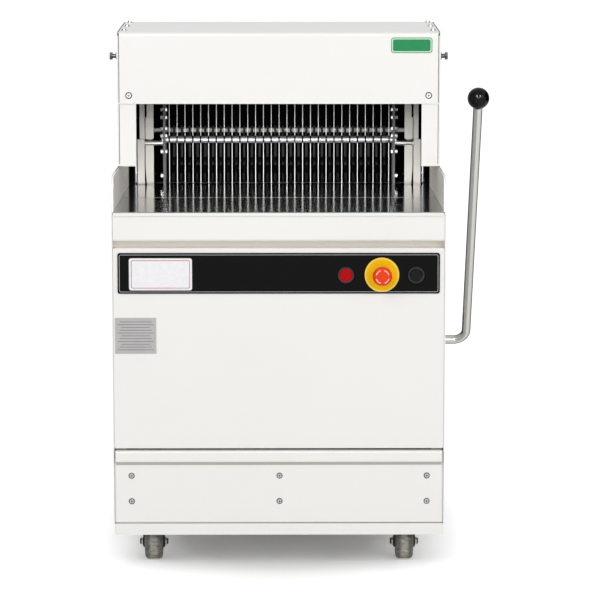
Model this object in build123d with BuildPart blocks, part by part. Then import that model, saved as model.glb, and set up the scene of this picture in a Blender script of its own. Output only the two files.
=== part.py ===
"""Floor-standing bread slicer with a hand lever.

A sheet-steel cabinet on four swivel casters carries a stainless table. Two frames of
upright knives slide up and down against each other behind it, worked by a small crank
shaft and a motor in the cabinet. A lever on the right-hand side swings a cross shaft,
whose two arms draw a comb-shaped pusher along guide rods, so that the loaf is pushed
from the infeed space at the back, through the knives, to the table at the front.

Millimetres. x is measured from the machine's middle plane, y from its front face
towards the back, and z from the floor.
"""
import os
from math import asin, atan2, cos, degrees, radians, sin, tan

from build123d import *

os.makedirs("parts", exist_ok=True)

# ---- cabinet --------------------------------------------------------------------
WIDTH = 580.0
DEPTH = 760.0
TABLE_Z = 629.0
PANEL = 2.0            # sheet of the side panels and the base
SKIN = 1.5             # sheet of the covers and the front panels
TABLE_SHEET = 2.0
FIT_GAP = 0.5          # between two sheets that lie beside each other
SEAT = 0.3             # running gap between flat faces that move
BORE_FIT = 0.05        # radial clearance of a shaft in its bore
BEND = 5.0             # radius of a folded edge

GUARD_HEIGHT = 63.0    # side panel above the table, at the front
GUARD_CORNER = 30.0
COLUMN_Y = 195.0       # front of the upper housing
COLUMN_FLANGE = 34.0
ROOF_FLANGE = 26.0
HOOD_BOTTOM_Z = 804.0
HOOD_LIP = 12.0
ROOF_FRONT_Z = 930.5   # underside of the hood, front edge
RIDGE = (440.0, 940.5)
ROOF_REAR = (598.0, 888.0)
LID_CORNER = (757.0, 803.0)

APRON_HEIGHT = 50.0
APRON_RETURN = 18.0
SHADOW_GAP = 12.0
FRONT_PANEL_HEIGHT = 352.0
PANEL_RETURN = 15.0
PLINTH_GAP = 4.0
PLINTH_LIP = 18.0
PLINTH_LIP_REACH = 7.0
PLINTH_SLOPE = 7.0
TABLE_SEAM_Y = 261.0
TABLE_SEAM = 2.0
TABLE_NOSE = 6.0

STRIP_WIDTH = 559.0
STRIP_HEIGHT = 71.0
STRIP_Z = 523.0
STRIP_THICK = 2.0

# ---- casters --------------------------------------------------------------------
WHEEL_DIAMETER = 62.0
WHEEL_WIDTH = 31.5
TREAD_CROWN = 7.0
AXLE_DIAMETER = 10.0
AXLE_SPAN = 41.5
CASTER_X = 223.0
CASTER_Y = (60.0, 690.0)
CASTER_TRAIL = 18.0
CASTER_HEIGHT = 78.0
CASTER_PLATE = (90.0, 70.0, 3.0)
CHEEK = 2.5
CHEEK_GAP = 0.5
KINGPIN_DIAMETER = 12.0
RACEWAY_DIAMETER = 46.0
BASE_SKIRT = 20.0

# ---- knives and their frames ----------------------------------------------------
PITCH = 15.0
KNIFE_COUNT = 29
KNIFE_THICK = 1.0
KNIFE_DEPTH = 13.0
KNIFE_BEVEL = 3.0
KNIFE_BACK_Y = 523.4
STROKE = 20.0          # each way from mid stroke
FRAME_HALF = 221.0
STILE = 4.5
FRAME_DEPTH = 12.0
BEAM = 20.0
FRONT_FRAME_Y = 500.0
REAR_FRAME_Y = 544.0
BEAM_TOP_Z = 834.0
BEAM_BOTTOM_Z = 546.0
KNIFE_GRIP = 14.0      # of a knife's end that lies against its beam
LUG_WIDTH = 7.0
LUG_HEIGHT = 12.0
LUG_GRIP = 2.0
SLOT_PLAY = 0.1

GUIDE_Y = 518.0
GUIDE_THICK = 8.0
GUIDE_X = (240.0, 255.5)   # inner bar of a guide post
OUTER_BAR_X = (257.0, 266.5, 270.5)
OUTER_BAR_Y = 512.5    # front of the outer bar's lower half
GUIDE_ABOVE = 56.0     # guide post above the upper beams
GUIDE_BOTTOM_Z = 514.0
GUIDE_GROOVE = 2.5
SHOE_REACH = 33.0
SHOE_HEIGHT = 28.0

ROLLER_Y = 520.0
ROLLER_Z = 715.0
ROLLER_DIAMETER = 12.5
ROLLER_HALF = 221.0
GROOVE_WIDTH = 2.2
GROOVE_PLAY = 0.35     # between a knife's back and the bottom of its groove
ARM_DIAMETER = 9.0
ARM_DROP = 6.6
ARM_Y = 517.0
SADDLE_DEPTH = 3.0

# ---- crank drive ----------------------------------------------------------------
CRANK_Y = 530.0
CRANK_Z = 350.0
WEB_RADIUS = 32.0
WEB = 8.0
WEB_INNER_X = 172.0
PIN_LENGTH = 12.0
PIN_DIAMETER = 14.0
JOURNAL_DIAMETER = 20.0
ROD_THICK = 10.0
ROD_EYE = 13.0
ROD_LENGTH = 140.0
EYE_GAP = 0.5          # the rod's upper eye stops short of the frame's pin
BEARING_RADIUS = 22.0
BEARING_THICK = 14.0
CRANK_PULLEY_DIAMETER = 116.0
MOTOR_PULLEY_DIAMETER = 44.0
PULLEY_WIDTH = 20.0
PULLEY_X = -60.0
BELT_THICK = 6.0
BELT_WIDTH = 12.0
MOTOR_Y = 300.0
MOTOR_SHAFT_HEIGHT = 90.0
MOTOR_DIAMETER = 140.0
MOTOR_LENGTH = 210.0
MOTOR_X = -30.0
MOTOR_SHAFT = 19.0

# ---- lever and pusher -----------------------------------------------------------
PIVOT_Y = 594.0
PIVOT_Z = 316.0
LEVER_X = 365.0
LEVER_LEAN = 31.0
LEVER_LENGTH = 573.0
LEVER_DIAMETER = 17.0
LEVER_BEND = 24.0
BALL_DIAMETER = 40.0
BALL_STUD = 12.0
SHAFT_DIAMETER = 20.0
HUB_DIAMETER = 34.0
HUB_END_X = 306.0
ROCKER_RADIUS = 174.0
ROCKER_THICK = 8.0
ROCKER_X = 258.0
PUSHER_TRAVEL = 160.0
YOKE_ROLLER = 20.0
YOKE_PLAY = 1.6        # takes up the arc that the rollers run along
YOKE_X = 247.0
YOKE_THICK = 8.0
GUIDE_ROD_DIAMETER = 16.0
GUIDE_ROD_X = 236.0
GUIDE_ROD_FRONT_Y = 462.0
UPRIGHT_Y = 575.0
UPRIGHT_WIDTH = 24.0
PUSHER_TOP_Z = 740.0
FINGER_THICK = 4.0
FINGER_TOE_Y = 520.0
FINGER_TOE_Z = 664.0
TABLE_CLEARANCE = 3.0

# ---- controls -------------------------------------------------------------------
CONTROL_Z = 520.5
BUTTON_X = {"stop_button": 116.5, "start_button": 238.2}
ESTOP_X = 179.0
LEGEND_DIAMETER = 60.0
LEGEND_THICK = 1.5
BARREL_DIAMETER = 22.0
BARREL_END_Y = 16.0
CONTACT_DEPTH = 32.0
BEZEL_DIAMETER = 29.5
BEZEL_THICK = 7.0
CAP_DIAMETER = 23.0
CAP_THICK = 4.0
CAP_PROUD = 2.0
CAP_GAP = 0.3
STEM_DIAMETER = 8.0
BUTTON_TRAVEL = 4.0
ESTOP_HEAD_DIAMETER = 33.5
ESTOP_HEAD_THICK = 14.0
ESTOP_COLLAR = 27.0
ESTOP_COLLAR_THICK = 10.5

# ---- back -----------------------------------------------------------------------
LID_BOTTOM_Z = 631.0
HINGE_BARREL = 9.0
HINGE_PIN = 4.0
HINGE_X = 180.0
KNUCKLE = 20.0
LID_HANDLE_Z = 720.0
LID_HANDLE_HALF = 60.0
LID_HANDLE_REACH = 34.0
TRAY_HALF = 160.0
TRAY_FRONT_Y = 400.0
TRAY_FLOOR_Z = 494.0
TRAY_WALL = 24.0
TRAY_TRAVEL = 250.0
GLAND_X = -200.0
GLAND_Z = 140.0
GLAND_BORE = 9.0
SIDE_BOLT_Y = 230.0
SIDE_BOLT_Z = 888.0
SIDE_BOLT_REACH = 14.0

# ---- sizes that follow ----------------------------------------------------------
HALF = WIDTH / 2
INNER = HALF - PANEL
GUARD_TOP_Z = TABLE_Z + GUARD_HEIGHT
BASE_TOP_Z = CASTER_HEIGHT + PANEL
BASE_BOTTOM_Z = BASE_TOP_Z - BASE_SKIRT
APRON_BOTTOM_Z = TABLE_Z - TABLE_SHEET - APRON_HEIGHT + 1.5
PANEL_TOP_Z = APRON_BOTTOM_Z - SHADOW_GAP
PANEL_BOTTOM_Z = PANEL_TOP_Z - FRONT_PANEL_HEIGHT
PLINTH_TOP_Z = PANEL_BOTTOM_Z - PLINTH_GAP
BACK_Y = DEPTH - 1.5                      # outer face of the rear panel
ROD_PIN_Z = CRANK_Z + ROD_LENGTH
ROCKER_SWING = asin(PUSHER_TRAVEL / 2 / ROCKER_RADIUS)
YOKE_Z = PIVOT_Z + ROCKER_RADIUS          # roller at the middle of its swing
YOKE_LOW_Z = PIVOT_Z + ROCKER_RADIUS * cos(ROCKER_SWING)
YOKE_Y = PIVOT_Y - PUSHER_TRAVEL / 2      # roller at rest
GUIDE_ROD_Z = YOKE_Z
KNIFE_XS = [PITCH * (i - (KNIFE_COUNT - 1) / 2) for i in range(KNIFE_COUNT)]
FRONT_KNIVES = KNIFE_XS[0::2]
REAR_KNIVES = KNIFE_XS[1::2]
FINGER_XS = [x + PITCH / 2 for x in KNIFE_XS[:-1]]
CRANK_END_X = WEB_INNER_X + 3 * WEB + 2 * PIN_LENGTH
CHASSIS_X = OUTER_BAR_X[2] + 1.5
CHASSIS_THICK = 4.0
CHASSIS_Y = (380.0, 640.0)
CHASSIS_TOP_Z = 620.0
MOTOR_Z = BASE_TOP_Z + MOTOR_SHAFT_HEIGHT
KNIFE_TOP_Z = BEAM_TOP_Z + KNIFE_GRIP
KNIFE_BOTTOM_Z = BEAM_BOTTOM_Z + BEAM - KNIFE_GRIP
GUIDE_TOP_Z = BEAM_TOP_Z + GUIDE_ABOVE

# The origin is the middle of the whole machine's footprint: the lever widens it to the
# right, the mushroom button to the front and the lid's handle to the back.
LEFT_REACH = HALF + SIDE_BOLT_REACH
RIGHT_REACH = LEVER_X + BALL_DIAMETER / 2
ESTOP_FRONT = STRIP_THICK + LEGEND_THICK + ESTOP_COLLAR_THICK + BUTTON_TRAVEL + 1.0
FRONT_REACH = ESTOP_FRONT + ESTOP_HEAD_THICK
REAR_REACH = LID_CORNER[0] + SKIN + LID_HANDLE_REACH
CX = (LEFT_REACH - RIGHT_REACH) / 2
CY = (FRONT_REACH - REAR_REACH) / 2


def across(x):
    """Upright plane at x, drawn in (y, z) and facing right."""
    return Plane(origin=(CX + x, CY, 0), x_dir=(0, 1, 0), z_dir=(1, 0, 0))


def facing(y):
    """Upright plane at y, drawn in (x, z) and facing the user."""
    return Plane(origin=(CX, CY + y, 0), x_dir=(1, 0, 0), z_dir=(0, -1, 0))


def level(z):
    """Horizontal plane at z, drawn in (x, y) and facing up."""
    return Plane(origin=(CX, CY, z), x_dir=(1, 0, 0), z_dir=(0, 0, 1))


def folded(thickness, *points, radius=BEND, x=0.0):
    """Section of a folded sheet in (y, z): the points lie on its inner face."""
    with BuildSketch(across(x)) as section:
        with BuildLine():
            if len(points) > 2:
                FilletPolyline(*points, radius=radius)
            else:
                Polyline(*points)
            offset(amount=thickness, side=Side.LEFT)
        make_face()
    return section.sketch


def outline(plane, *points):
    """Closed polygon on a plane."""
    with BuildSketch(plane) as drawing:
        with BuildLine():
            Polyline(*points, close=True)
        make_face()
    return drawing.sketch


def roof_z(y):
    """Height of the covers' underside over the housing."""
    if y <= RIDGE[0]:
        slope = (RIDGE[1] - ROOF_FRONT_Z) / (RIDGE[0] - COLUMN_Y)
        return ROOF_FRONT_Z + (y - COLUMN_Y) * slope
    slope = (ROOF_REAR[1] - RIDGE[1]) / (ROOF_REAR[0] - RIDGE[0])
    return RIDGE[1] + (y - RIDGE[0]) * slope


def save(part, name):
    part.label = name
    export_step(part, f"parts/{name}.step")


# ---- base and side panels -------------------------------------------------------
with BuildPart() as base_frame:
    with BuildSketch(level(BASE_BOTTOM_Z)):
        with Locations((0, DEPTH / 2)):
            RectangleRounded(2 * INNER, DEPTH, 3.0)
    extrude(amount=BASE_SKIRT)
    offset(amount=-PANEL, openings=base_frame.faces().sort_by(Axis.Z)[0])
save(base_frame.part, "base_frame")

ROOF_EDGE = [(COLUMN_Y, ROOF_FRONT_Z + SKIN), (RIDGE[0], RIDGE[1] + SKIN)]
ROOF_EDGE += [(ROOF_REAR[0], ROOF_REAR[1] + SKIN), (DEPTH, LID_CORNER[1] + SKIN)]

for side, sign in (("left", -1), ("right", 1)):
    with BuildPart() as side_panel:
        with BuildSketch(across(sign * INNER)) as sheet:
            with BuildLine():
                Polyline(
                    (0, BASE_TOP_Z), (DEPTH, BASE_TOP_Z), *reversed(ROOF_EDGE),
                    (COLUMN_Y, GUARD_TOP_Z), (0, GUARD_TOP_Z), close=True,
                )
            make_face()
            fillet(sheet.vertices().group_by(Axis.X)[0].sort_by(Axis.Y)[-1:], GUARD_CORNER)
            if sign > 0:
                with Locations((PIVOT_Y, PIVOT_Z)):
                    Circle(HUB_DIAMETER / 2 + 1.0, mode=Mode.SUBTRACT)
        extrude(amount=sign * PANEL)
        with BuildSketch(facing(COLUMN_Y)):
            with Locations((sign * (INNER - COLUMN_FLANGE / 2 + PANEL / 2), 0)):
                with Locations((0, (GUARD_TOP_Z + ROOF_FRONT_Z - BEND) / 2)):
                    Rectangle(COLUMN_FLANGE - PANEL, ROOF_FRONT_Z - BEND - GUARD_TOP_Z)
        extrude(amount=-PANEL)
        roof = [(COLUMN_Y + BEND, roof_z(COLUMN_Y + BEND)), RIDGE, ROOF_REAR]
        under = [(y, z - PANEL) for y, z in reversed(roof)]
        extrude(outline(across(sign * INNER), *roof, *under), amount=-sign * ROOF_FLANGE)
        with BuildSketch(facing(PANEL_RETURN + FIT_GAP)):
            with Locations((sign * (INNER - 10.0), (BASE_TOP_Z + PANEL_TOP_Z) / 2)):
                Rectangle(20.0, PANEL_TOP_Z - BASE_TOP_Z)
        extrude(amount=-PANEL)
    save(side_panel.part, f"side_panel_{side}")

with BuildPart() as table_guards:
    for sign in (-1, 1):
        with BuildSketch(across(sign * INNER)) as liner:
            with BuildLine():
                Polyline(
                    (TABLE_NOSE, TABLE_Z), (FRONT_FRAME_Y - 10.0, TABLE_Z),
                    (FRONT_FRAME_Y - 10.0, GUARD_TOP_Z - 2.0), (TABLE_NOSE, GUARD_TOP_Z - 2.0),
                    close=True,
                )
            make_face()
            fillet(liner.vertices().group_by(Axis.X)[0].sort_by(Axis.Y)[-1:], GUARD_CORNER - 2.0)
        extrude(amount=-sign * SKIN)
save(table_guards.part, "table_guards")

# ---- front covers ---------------------------------------------------------------
FRONT_HALF = INNER - FIT_GAP
with BuildPart() as front_apron:
    apron = folded(
        SKIN, (APRON_RETURN, APRON_BOTTOM_Z + SKIN), (SKIN, APRON_BOTTOM_Z + SKIN),
        (SKIN, TABLE_Z - TABLE_SHEET - SKIN), (APRON_RETURN, TABLE_Z - TABLE_SHEET - SKIN),
        radius=3.0,
    )
    extrude(apron, amount=FRONT_HALF, both=True)
save(front_apron.part, "front_apron")

with BuildPart() as cross_members:
    channel = folded(
        SKIN, (60.0, PANEL_TOP_Z - 22.0), (APRON_RETURN + 2.0, PANEL_TOP_Z - 22.0),
        (APRON_RETURN + 2.0, TABLE_Z - TABLE_SHEET - SKIN), (60.0, TABLE_Z - TABLE_SHEET - SKIN),
    )
    extrude(channel, amount=INNER, both=True)
    rise = 14.0
    channel = folded(
        3.0, (GUIDE_Y + 26.0, GUIDE_TOP_Z + rise - 3.0), (GUIDE_Y + 26.0, GUIDE_TOP_Z + 3.0),
        (GUIDE_Y - 20.0, GUIDE_TOP_Z + 3.0), (GUIDE_Y - 20.0, GUIDE_TOP_Z + rise - 3.0),
        radius=2.0,
    )
    extrude(channel, amount=INNER, both=True)
save(cross_members.part, "cross_members")

CONTROL_XS = [*BUTTON_X.values(), ESTOP_X]
with BuildPart() as front_panel:
    with BuildSketch(facing(0)):
        with Locations((0, (PANEL_TOP_Z + PANEL_BOTTOM_Z) / 2)):
            RectangleRounded(2 * FRONT_HALF, FRONT_PANEL_HEIGHT, 3.0)
    extrude(amount=-PANEL_RETURN)
    offset(amount=-SKIN, openings=front_panel.faces().sort_by(Axis.Y)[-1])
    with BuildSketch(facing(0)):
        with Locations(*[(x, CONTROL_Z) for x in CONTROL_XS]):
            Circle(BARREL_DIAMETER / 2)
    extrude(amount=-SKIN, mode=Mode.SUBTRACT)
save(front_panel.part, "front_panel")

with BuildPart() as control_strip:
    with BuildSketch(facing(0)):
        with Locations((0, STRIP_Z)):
            RectangleRounded(STRIP_WIDTH, STRIP_HEIGHT, 4.0)
        with Locations(*[(x, CONTROL_Z) for x in CONTROL_XS]):
            Circle(BARREL_DIAMETER / 2, mode=Mode.SUBTRACT)
    extrude(amount=STRIP_THICK)
    chamfer(control_strip.faces().sort_by(Axis.Y)[0].outer_wire().edges(), 0.6)
save(control_strip.part, "control_strip")

PLINTH_HALF = INNER - 3.0
LIP_BOTTOM_Z = PLINTH_TOP_Z - PLINTH_LIP
with BuildPart() as plinth_panel:
    with BuildSketch(across(0)) as section:
        with BuildLine():
            FilletPolyline(
                (PANEL_RETURN, BASE_TOP_Z + 1.0 + SKIN), (SKIN, BASE_TOP_Z + 1.0 + SKIN),
                (SKIN, LIP_BOTTOM_Z - PLINTH_SLOPE), (SKIN - PLINTH_LIP_REACH, LIP_BOTTOM_Z),
                (SKIN - PLINTH_LIP_REACH, PLINTH_TOP_Z - SKIN), (PANEL_RETURN, PLINTH_TOP_Z - SKIN),
                radius=2.0,
            )
            offset(amount=SKIN, side=Side.LEFT)
        make_face()
    extrude(amount=PLINTH_HALF, both=True)
save(plinth_panel.part, "plinth_panel")

# ---- hood, rear roof and the table plates ---------------------------------------
HOOD_HALF = INNER - 2.0
LIP_HALF = INNER - COLUMN_FLANGE - 1.0
hood_front = [(COLUMN_Y, HOOD_BOTTOM_Z + SKIN), (COLUMN_Y, ROOF_FRONT_Z), RIDGE]
with BuildPart() as hood_cover:
    extrude(folded(SKIN, *hood_front), amount=HOOD_HALF, both=True)
    lip = folded(SKIN, (COLUMN_Y + HOOD_LIP, HOOD_BOTTOM_Z + SKIN), hood_front[0])
    extrude(lip, amount=LIP_HALF, both=True)
    extrude(
        outline(across(0), (COLUMN_Y - SKIN, HOOD_BOTTOM_Z), (COLUMN_Y, HOOD_BOTTOM_Z),
                hood_front[0], (COLUMN_Y - SKIN, HOOD_BOTTOM_Z + SKIN)),
        amount=HOOD_HALF, both=True,
    )
save(hood_cover.part, "hood_cover")

LID_LINE = [(ROOF_REAR[0] + 5.0, ROOF_REAR[1] - 2.6), LID_CORNER, (LID_CORNER[0], LID_BOTTOM_Z)]
LID_PITCH = degrees(atan2(LID_LINE[0][1] - LID_CORNER[1], LID_CORNER[0] - LID_LINE[0][0]))
HINGE_Y = ROOF_REAR[0] + 2.5
HINGE_Z = ROOF_REAR[1] + SKIN + HINGE_BARREL / 2 + 1.5


def knuckle(x_from):
    """Round of a hinge knuckle, seen along its pin."""
    with BuildSketch(across(x_from)) as ring:
        with Locations((HINGE_Y, HINGE_Z)):
            Circle(HINGE_BARREL / 2)
    return ring.sketch


with BuildPart() as rear_roof:
    start = (RIDGE[0] + 1.0, roof_z(RIDGE[0] + 1.0))
    extrude(folded(SKIN, start, ROOF_REAR), amount=HOOD_HALF, both=True)
    leaf_z = [roof_z(ROOF_REAR[0] - back) + SKIN for back in (36.0, 1.0)]
    for x in (-HINGE_X, HINGE_X):
        leaf = outline(across(x - KNUCKLE / 2), (ROOF_REAR[0] - 36.0, leaf_z[0]),
                       (ROOF_REAR[0] - 1.0, leaf_z[1]), (HINGE_Y, HINGE_Z),
                       (HINGE_Y, HINGE_Z + HINGE_BARREL / 2), (ROOF_REAR[0] - 36.0, leaf_z[0] + 2.0))
        extrude(leaf, amount=KNUCKLE)
        extrude(knuckle(x - KNUCKLE / 2), amount=KNUCKLE)
        with BuildSketch(across(x - 1.5 * KNUCKLE)):
            with Locations((HINGE_Y, HINGE_Z)):
                Circle(HINGE_PIN / 2)
        extrude(amount=3 * KNUCKLE)
    lip = outline(across(0), (ROOF_REAR[0] - SKIN, ROOF_REAR[1] - 18.0),
                  (ROOF_REAR[0], ROOF_REAR[1] - 18.0), (ROOF_REAR[0], ROOF_REAR[1] + 0.3),
                  (ROOF_REAR[0] - SKIN, roof_z(ROOF_REAR[0] - SKIN) + 0.3))
    extrude(lip, amount=INNER - ROOF_FLANGE - 1.0, both=True)
save(rear_roof.part, "rear_roof")

with BuildPart() as outfeed_table:
    nose = folded(TABLE_SHEET, (0, TABLE_Z - TABLE_NOSE),
                  (0, TABLE_Z - TABLE_SHEET), (TABLE_SEAM_Y, TABLE_Z - TABLE_SHEET),
                  radius=2.0)
    extrude(nose, amount=INNER - SKIN - FIT_GAP, both=True)
save(outfeed_table.part, "outfeed_table")

TONGUE_HALF = FRAME_HALF - STILE - 2.5
with BuildPart() as knife_table:
    rear = FRONT_FRAME_Y - 4.0
    wide = INNER - SKIN - FIT_GAP
    plate = outline(
        level(TABLE_Z - TABLE_SHEET), (-wide, TABLE_SEAM_Y + TABLE_SEAM),
        (wide, TABLE_SEAM_Y + TABLE_SEAM), (wide, rear), (TONGUE_HALF, rear),
        (TONGUE_HALF, KNIFE_BACK_Y - 7.0), (-TONGUE_HALF, KNIFE_BACK_Y - 7.0),
        (-TONGUE_HALF, rear), (-wide, rear),
    )
    extrude(plate, amount=TABLE_SHEET)
    extrude(outline(across(0), (TABLE_SEAM_Y - 20.0, TABLE_Z - 2 * TABLE_SHEET),
                    (TABLE_SEAM_Y + 20.0, TABLE_Z - 2 * TABLE_SHEET),
                    (TABLE_SEAM_Y + 20.0, TABLE_Z - TABLE_SHEET),
                    (TABLE_SEAM_Y - 20.0, TABLE_Z - TABLE_SHEET)),
            amount=wide, both=True)
save(knife_table.part, "knife_table")

SLOT_HALF = YOKE_THICK / 2 + 2.0
with BuildPart() as infeed_table:
    with BuildSketch(level(TABLE_Z - TABLE_SHEET)):
        with Locations((0, (REAR_FRAME_Y + FRAME_DEPTH + 4.0 + BACK_Y - SKIN) / 2)):
            Rectangle(2 * (INNER - FIT_GAP), BACK_Y - SKIN - REAR_FRAME_Y - FRAME_DEPTH - 4.0)
        for sign in (-1, 1):
            with Locations((sign * (YOKE_X + YOKE_THICK / 2), UPRIGHT_Y + PUSHER_TRAVEL / 2)):
                Rectangle(2 * SLOT_HALF, PUSHER_TRAVEL + UPRIGHT_WIDTH + 8.0, mode=Mode.SUBTRACT)
    extrude(amount=TABLE_SHEET)
save(infeed_table.part, "infeed_table")

# ---- rear panel with louvres, tray opening and cable gland ----------------------
with BuildPart() as rear_panel:
    with BuildSketch(facing(BACK_Y)):
        with Locations((0, (BASE_TOP_Z + TABLE_Z - TABLE_SHEET) / 2)):
            Rectangle(2 * FRONT_HALF, TABLE_Z - TABLE_SHEET - BASE_TOP_Z)
        with Locations((0, TRAY_FLOOR_Z + TRAY_WALL / 2)):
            Rectangle(2 * TRAY_HALF + 6.0, TRAY_WALL + 8.0, mode=Mode.SUBTRACT)
        with Locations((0, 300.0)):
            with GridLocations(150.0, 22.0, 2, 8):
                SlotOverall(110.0, 8.0, mode=Mode.SUBTRACT)
        with Locations((GLAND_X, GLAND_Z)):
            Circle(GLAND_BORE / 2 + 3.5, mode=Mode.SUBTRACT)
    extrude(amount=SKIN)
save(rear_panel.part, "rear_panel")

with BuildPart() as cable_gland:
    with BuildSketch(Plane(origin=(CX + GLAND_X, CY, GLAND_Z), x_dir=(1, 0, 0), z_dir=(0, 0, 1))):
        with BuildLine():
            Polyline(
                (GLAND_BORE / 2, BACK_Y - 14.0), (GLAND_BORE / 2 + 3.5, BACK_Y - 14.0),
                (GLAND_BORE / 2 + 3.5, BACK_Y), (GLAND_BORE / 2 + 7.0, BACK_Y),
                (GLAND_BORE / 2 + 7.0, BACK_Y + 6.0), (GLAND_BORE / 2 + 5.0, BACK_Y + 8.0),
                (GLAND_BORE / 2 + 2.5, BACK_Y + 18.0), (GLAND_BORE / 2, BACK_Y + 18.0), close=True,
            )
        make_face()
    revolve(axis=Axis((CX + GLAND_X, CY, GLAND_Z), (0, 1, 0)))
save(cable_gland.part, "cable_gland")

# ---- chassis plates, knife guides and the grooved guide bar ---------------------
with BuildPart() as chassis_plates:
    for sign in (-1, 1):
        with BuildSketch(across(sign * CHASSIS_X)):
            with Locations(((CHASSIS_Y[0] + CHASSIS_Y[1]) / 2, (BASE_TOP_Z + CHASSIS_TOP_Z) / 2)):
                RectangleRounded(CHASSIS_Y[1] - CHASSIS_Y[0], CHASSIS_TOP_Z - BASE_TOP_Z, 12.0)
            with Locations((CRANK_Y, CRANK_Z), (PIVOT_Y, PIVOT_Z)):
                Circle(SHAFT_DIAMETER / 2 + 2.0, mode=Mode.SUBTRACT)
            with Locations((CHASSIS_Y[0] + 66.0, 190.0)):
                RectangleRounded(86.0, 150.0, 14.0, mode=Mode.SUBTRACT)
            with Locations((CHASSIS_Y[1] - 70.0, 190.0)):
                RectangleRounded(86.0, 150.0, 14.0, mode=Mode.SUBTRACT)
            with Locations((CHASSIS_Y[0] + 50.0, 400.0)):
                RectangleRounded(56.0, 120.0, 14.0, mode=Mode.SUBTRACT)
        extrude(amount=sign * CHASSIS_THICK)
save(chassis_plates.part, "chassis_plates")

ARM_Z = ROLLER_Z - ARM_DROP
SADDLE_Z = ARM_Z - ARM_DIAMETER / 2 + SADDLE_DEPTH
ARM_TOP_Z = ARM_Z + ARM_DIAMETER / 2 + 2.5
with BuildPart() as knife_guides:
    bar_mid = (GUIDE_X[0] + GUIDE_X[1]) / 2
    bar_width = GUIDE_X[1] - GUIDE_X[0]
    wide_slot_z = TABLE_Z + 128.0
    for sign in (-1, 1):
        # upper half: an inner and an outer bar with a slot between them, joined at the top
        with BuildSketch(facing(GUIDE_Y)) as post:
            with Locations((sign * bar_mid, (ARM_TOP_Z + GUIDE_TOP_Z) / 2)):
                Rectangle(bar_width, GUIDE_TOP_Z - ARM_TOP_Z)
            lower = post.vertices().group_by(Axis.Y)[0].sort_by(Axis.X)
            fillet(lower[0] if sign > 0 else lower[-1], 3.0)
            with Locations((sign * (GUIDE_X[1] - GUIDE_GROOVE / 2), (GUIDE_TOP_Z + wide_slot_z) / 2)):
                Rectangle(GUIDE_GROOVE, GUIDE_TOP_Z - wide_slot_z, mode=Mode.SUBTRACT)
            outer_mid = (OUTER_BAR_X[0] + OUTER_BAR_X[1]) / 2
            with Locations((sign * outer_mid, (ARM_TOP_Z + GUIDE_TOP_Z) / 2)):
                Rectangle(OUTER_BAR_X[1] - OUTER_BAR_X[0], GUIDE_TOP_Z - ARM_TOP_Z)
            top_mid = (GUIDE_X[0] + OUTER_BAR_X[1]) / 2
            with Locations((sign * top_mid, GUIDE_TOP_Z - 8.0)):
                Rectangle(OUTER_BAR_X[1] - GUIDE_X[0], 16.0)
        extrude(amount=-GUIDE_THICK)
        # lower half: the outer bar stands further forward and holds the guide bar's arm
        with BuildSketch(facing(GUIDE_Y)):
            with Locations((sign * bar_mid, (GUIDE_BOTTOM_Z + SADDLE_Z) / 2)):
                Rectangle(bar_width, SADDLE_Z - GUIDE_BOTTOM_Z)
            with BuildLine():
                edge = sign * GUIDE_X[1]
                Polyline((edge, TABLE_Z + 32.0), (edge - sign * 3.0, TABLE_Z - 10.0),
                         (edge, TABLE_Z - 10.0), close=True)
            make_face(mode=Mode.SUBTRACT)
            foot_width = CHASSIS_X - GUIDE_X[0]
            foot_z = CHASSIS_TOP_Z - 4.0
            with Locations((sign * (GUIDE_X[0] + foot_width / 2), (GUIDE_BOTTOM_Z + foot_z) / 2)):
                Rectangle(foot_width, foot_z - GUIDE_BOTTOM_Z)
        extrude(amount=-GUIDE_THICK)
        with BuildSketch(facing(OUTER_BAR_Y)):
            holder_mid = (OUTER_BAR_X[0] + OUTER_BAR_X[2]) / 2
            with Locations((sign * holder_mid, (GUIDE_BOTTOM_Z + ARM_TOP_Z) / 2)):
                Rectangle(OUTER_BAR_X[2] - OUTER_BAR_X[0], ARM_TOP_Z - GUIDE_BOTTOM_Z)
        extrude(amount=-GUIDE_THICK)
    with BuildSketch(across(0)):
        with Locations((ARM_Y, ARM_Z)):
            Circle(ARM_DIAMETER / 2)
    extrude(amount=OUTER_BAR_X[0], both=True, mode=Mode.SUBTRACT)
save(knife_guides.part, "knife_guides")

groove_radius = KNIFE_BACK_Y - GROOVE_PLAY - ROLLER_Y
with BuildPart() as guide_bar:
    with BuildSketch(Plane(origin=(CX, CY + ROLLER_Y, ROLLER_Z), x_dir=(1, 0, 0), z_dir=(0, -1, 0))):
        with BuildLine():
            corners = [(-ROLLER_HALF, 0), (-ROLLER_HALF, ROLLER_DIAMETER / 2)]
            for x in KNIFE_XS:
                before, after = x - GROOVE_WIDTH / 2, x + GROOVE_WIDTH / 2
                corners += [(before, ROLLER_DIAMETER / 2), (before, groove_radius)]
                corners += [(after, groove_radius), (after, ROLLER_DIAMETER / 2)]
            corners += [(ROLLER_HALF, ROLLER_DIAMETER / 2), (ROLLER_HALF, 0)]
            Polyline(*corners, close=True)
        make_face()
    revolve(axis=Axis((CX, CY + ROLLER_Y, ROLLER_Z), (1, 0, 0)))
    for sign in (-1, 1):
        with BuildSketch(across(sign * ROLLER_HALF)):
            with Locations((ROLLER_Y, ROLLER_Z)):
                Circle(ROLLER_DIAMETER / 2)
            with Locations((ARM_Y, ARM_Z)):
                Circle(ARM_DIAMETER / 2)
            make_hull()
        extrude(amount=sign * 3.0)
        with BuildSketch(across(sign * ROLLER_HALF)):
            with Locations((ARM_Y, ARM_Z)):
                Circle(ARM_DIAMETER / 2)
        extrude(amount=sign * (OUTER_BAR_X[0] - ROLLER_HALF))
save(guide_bar.part, "guide_bar")

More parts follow.
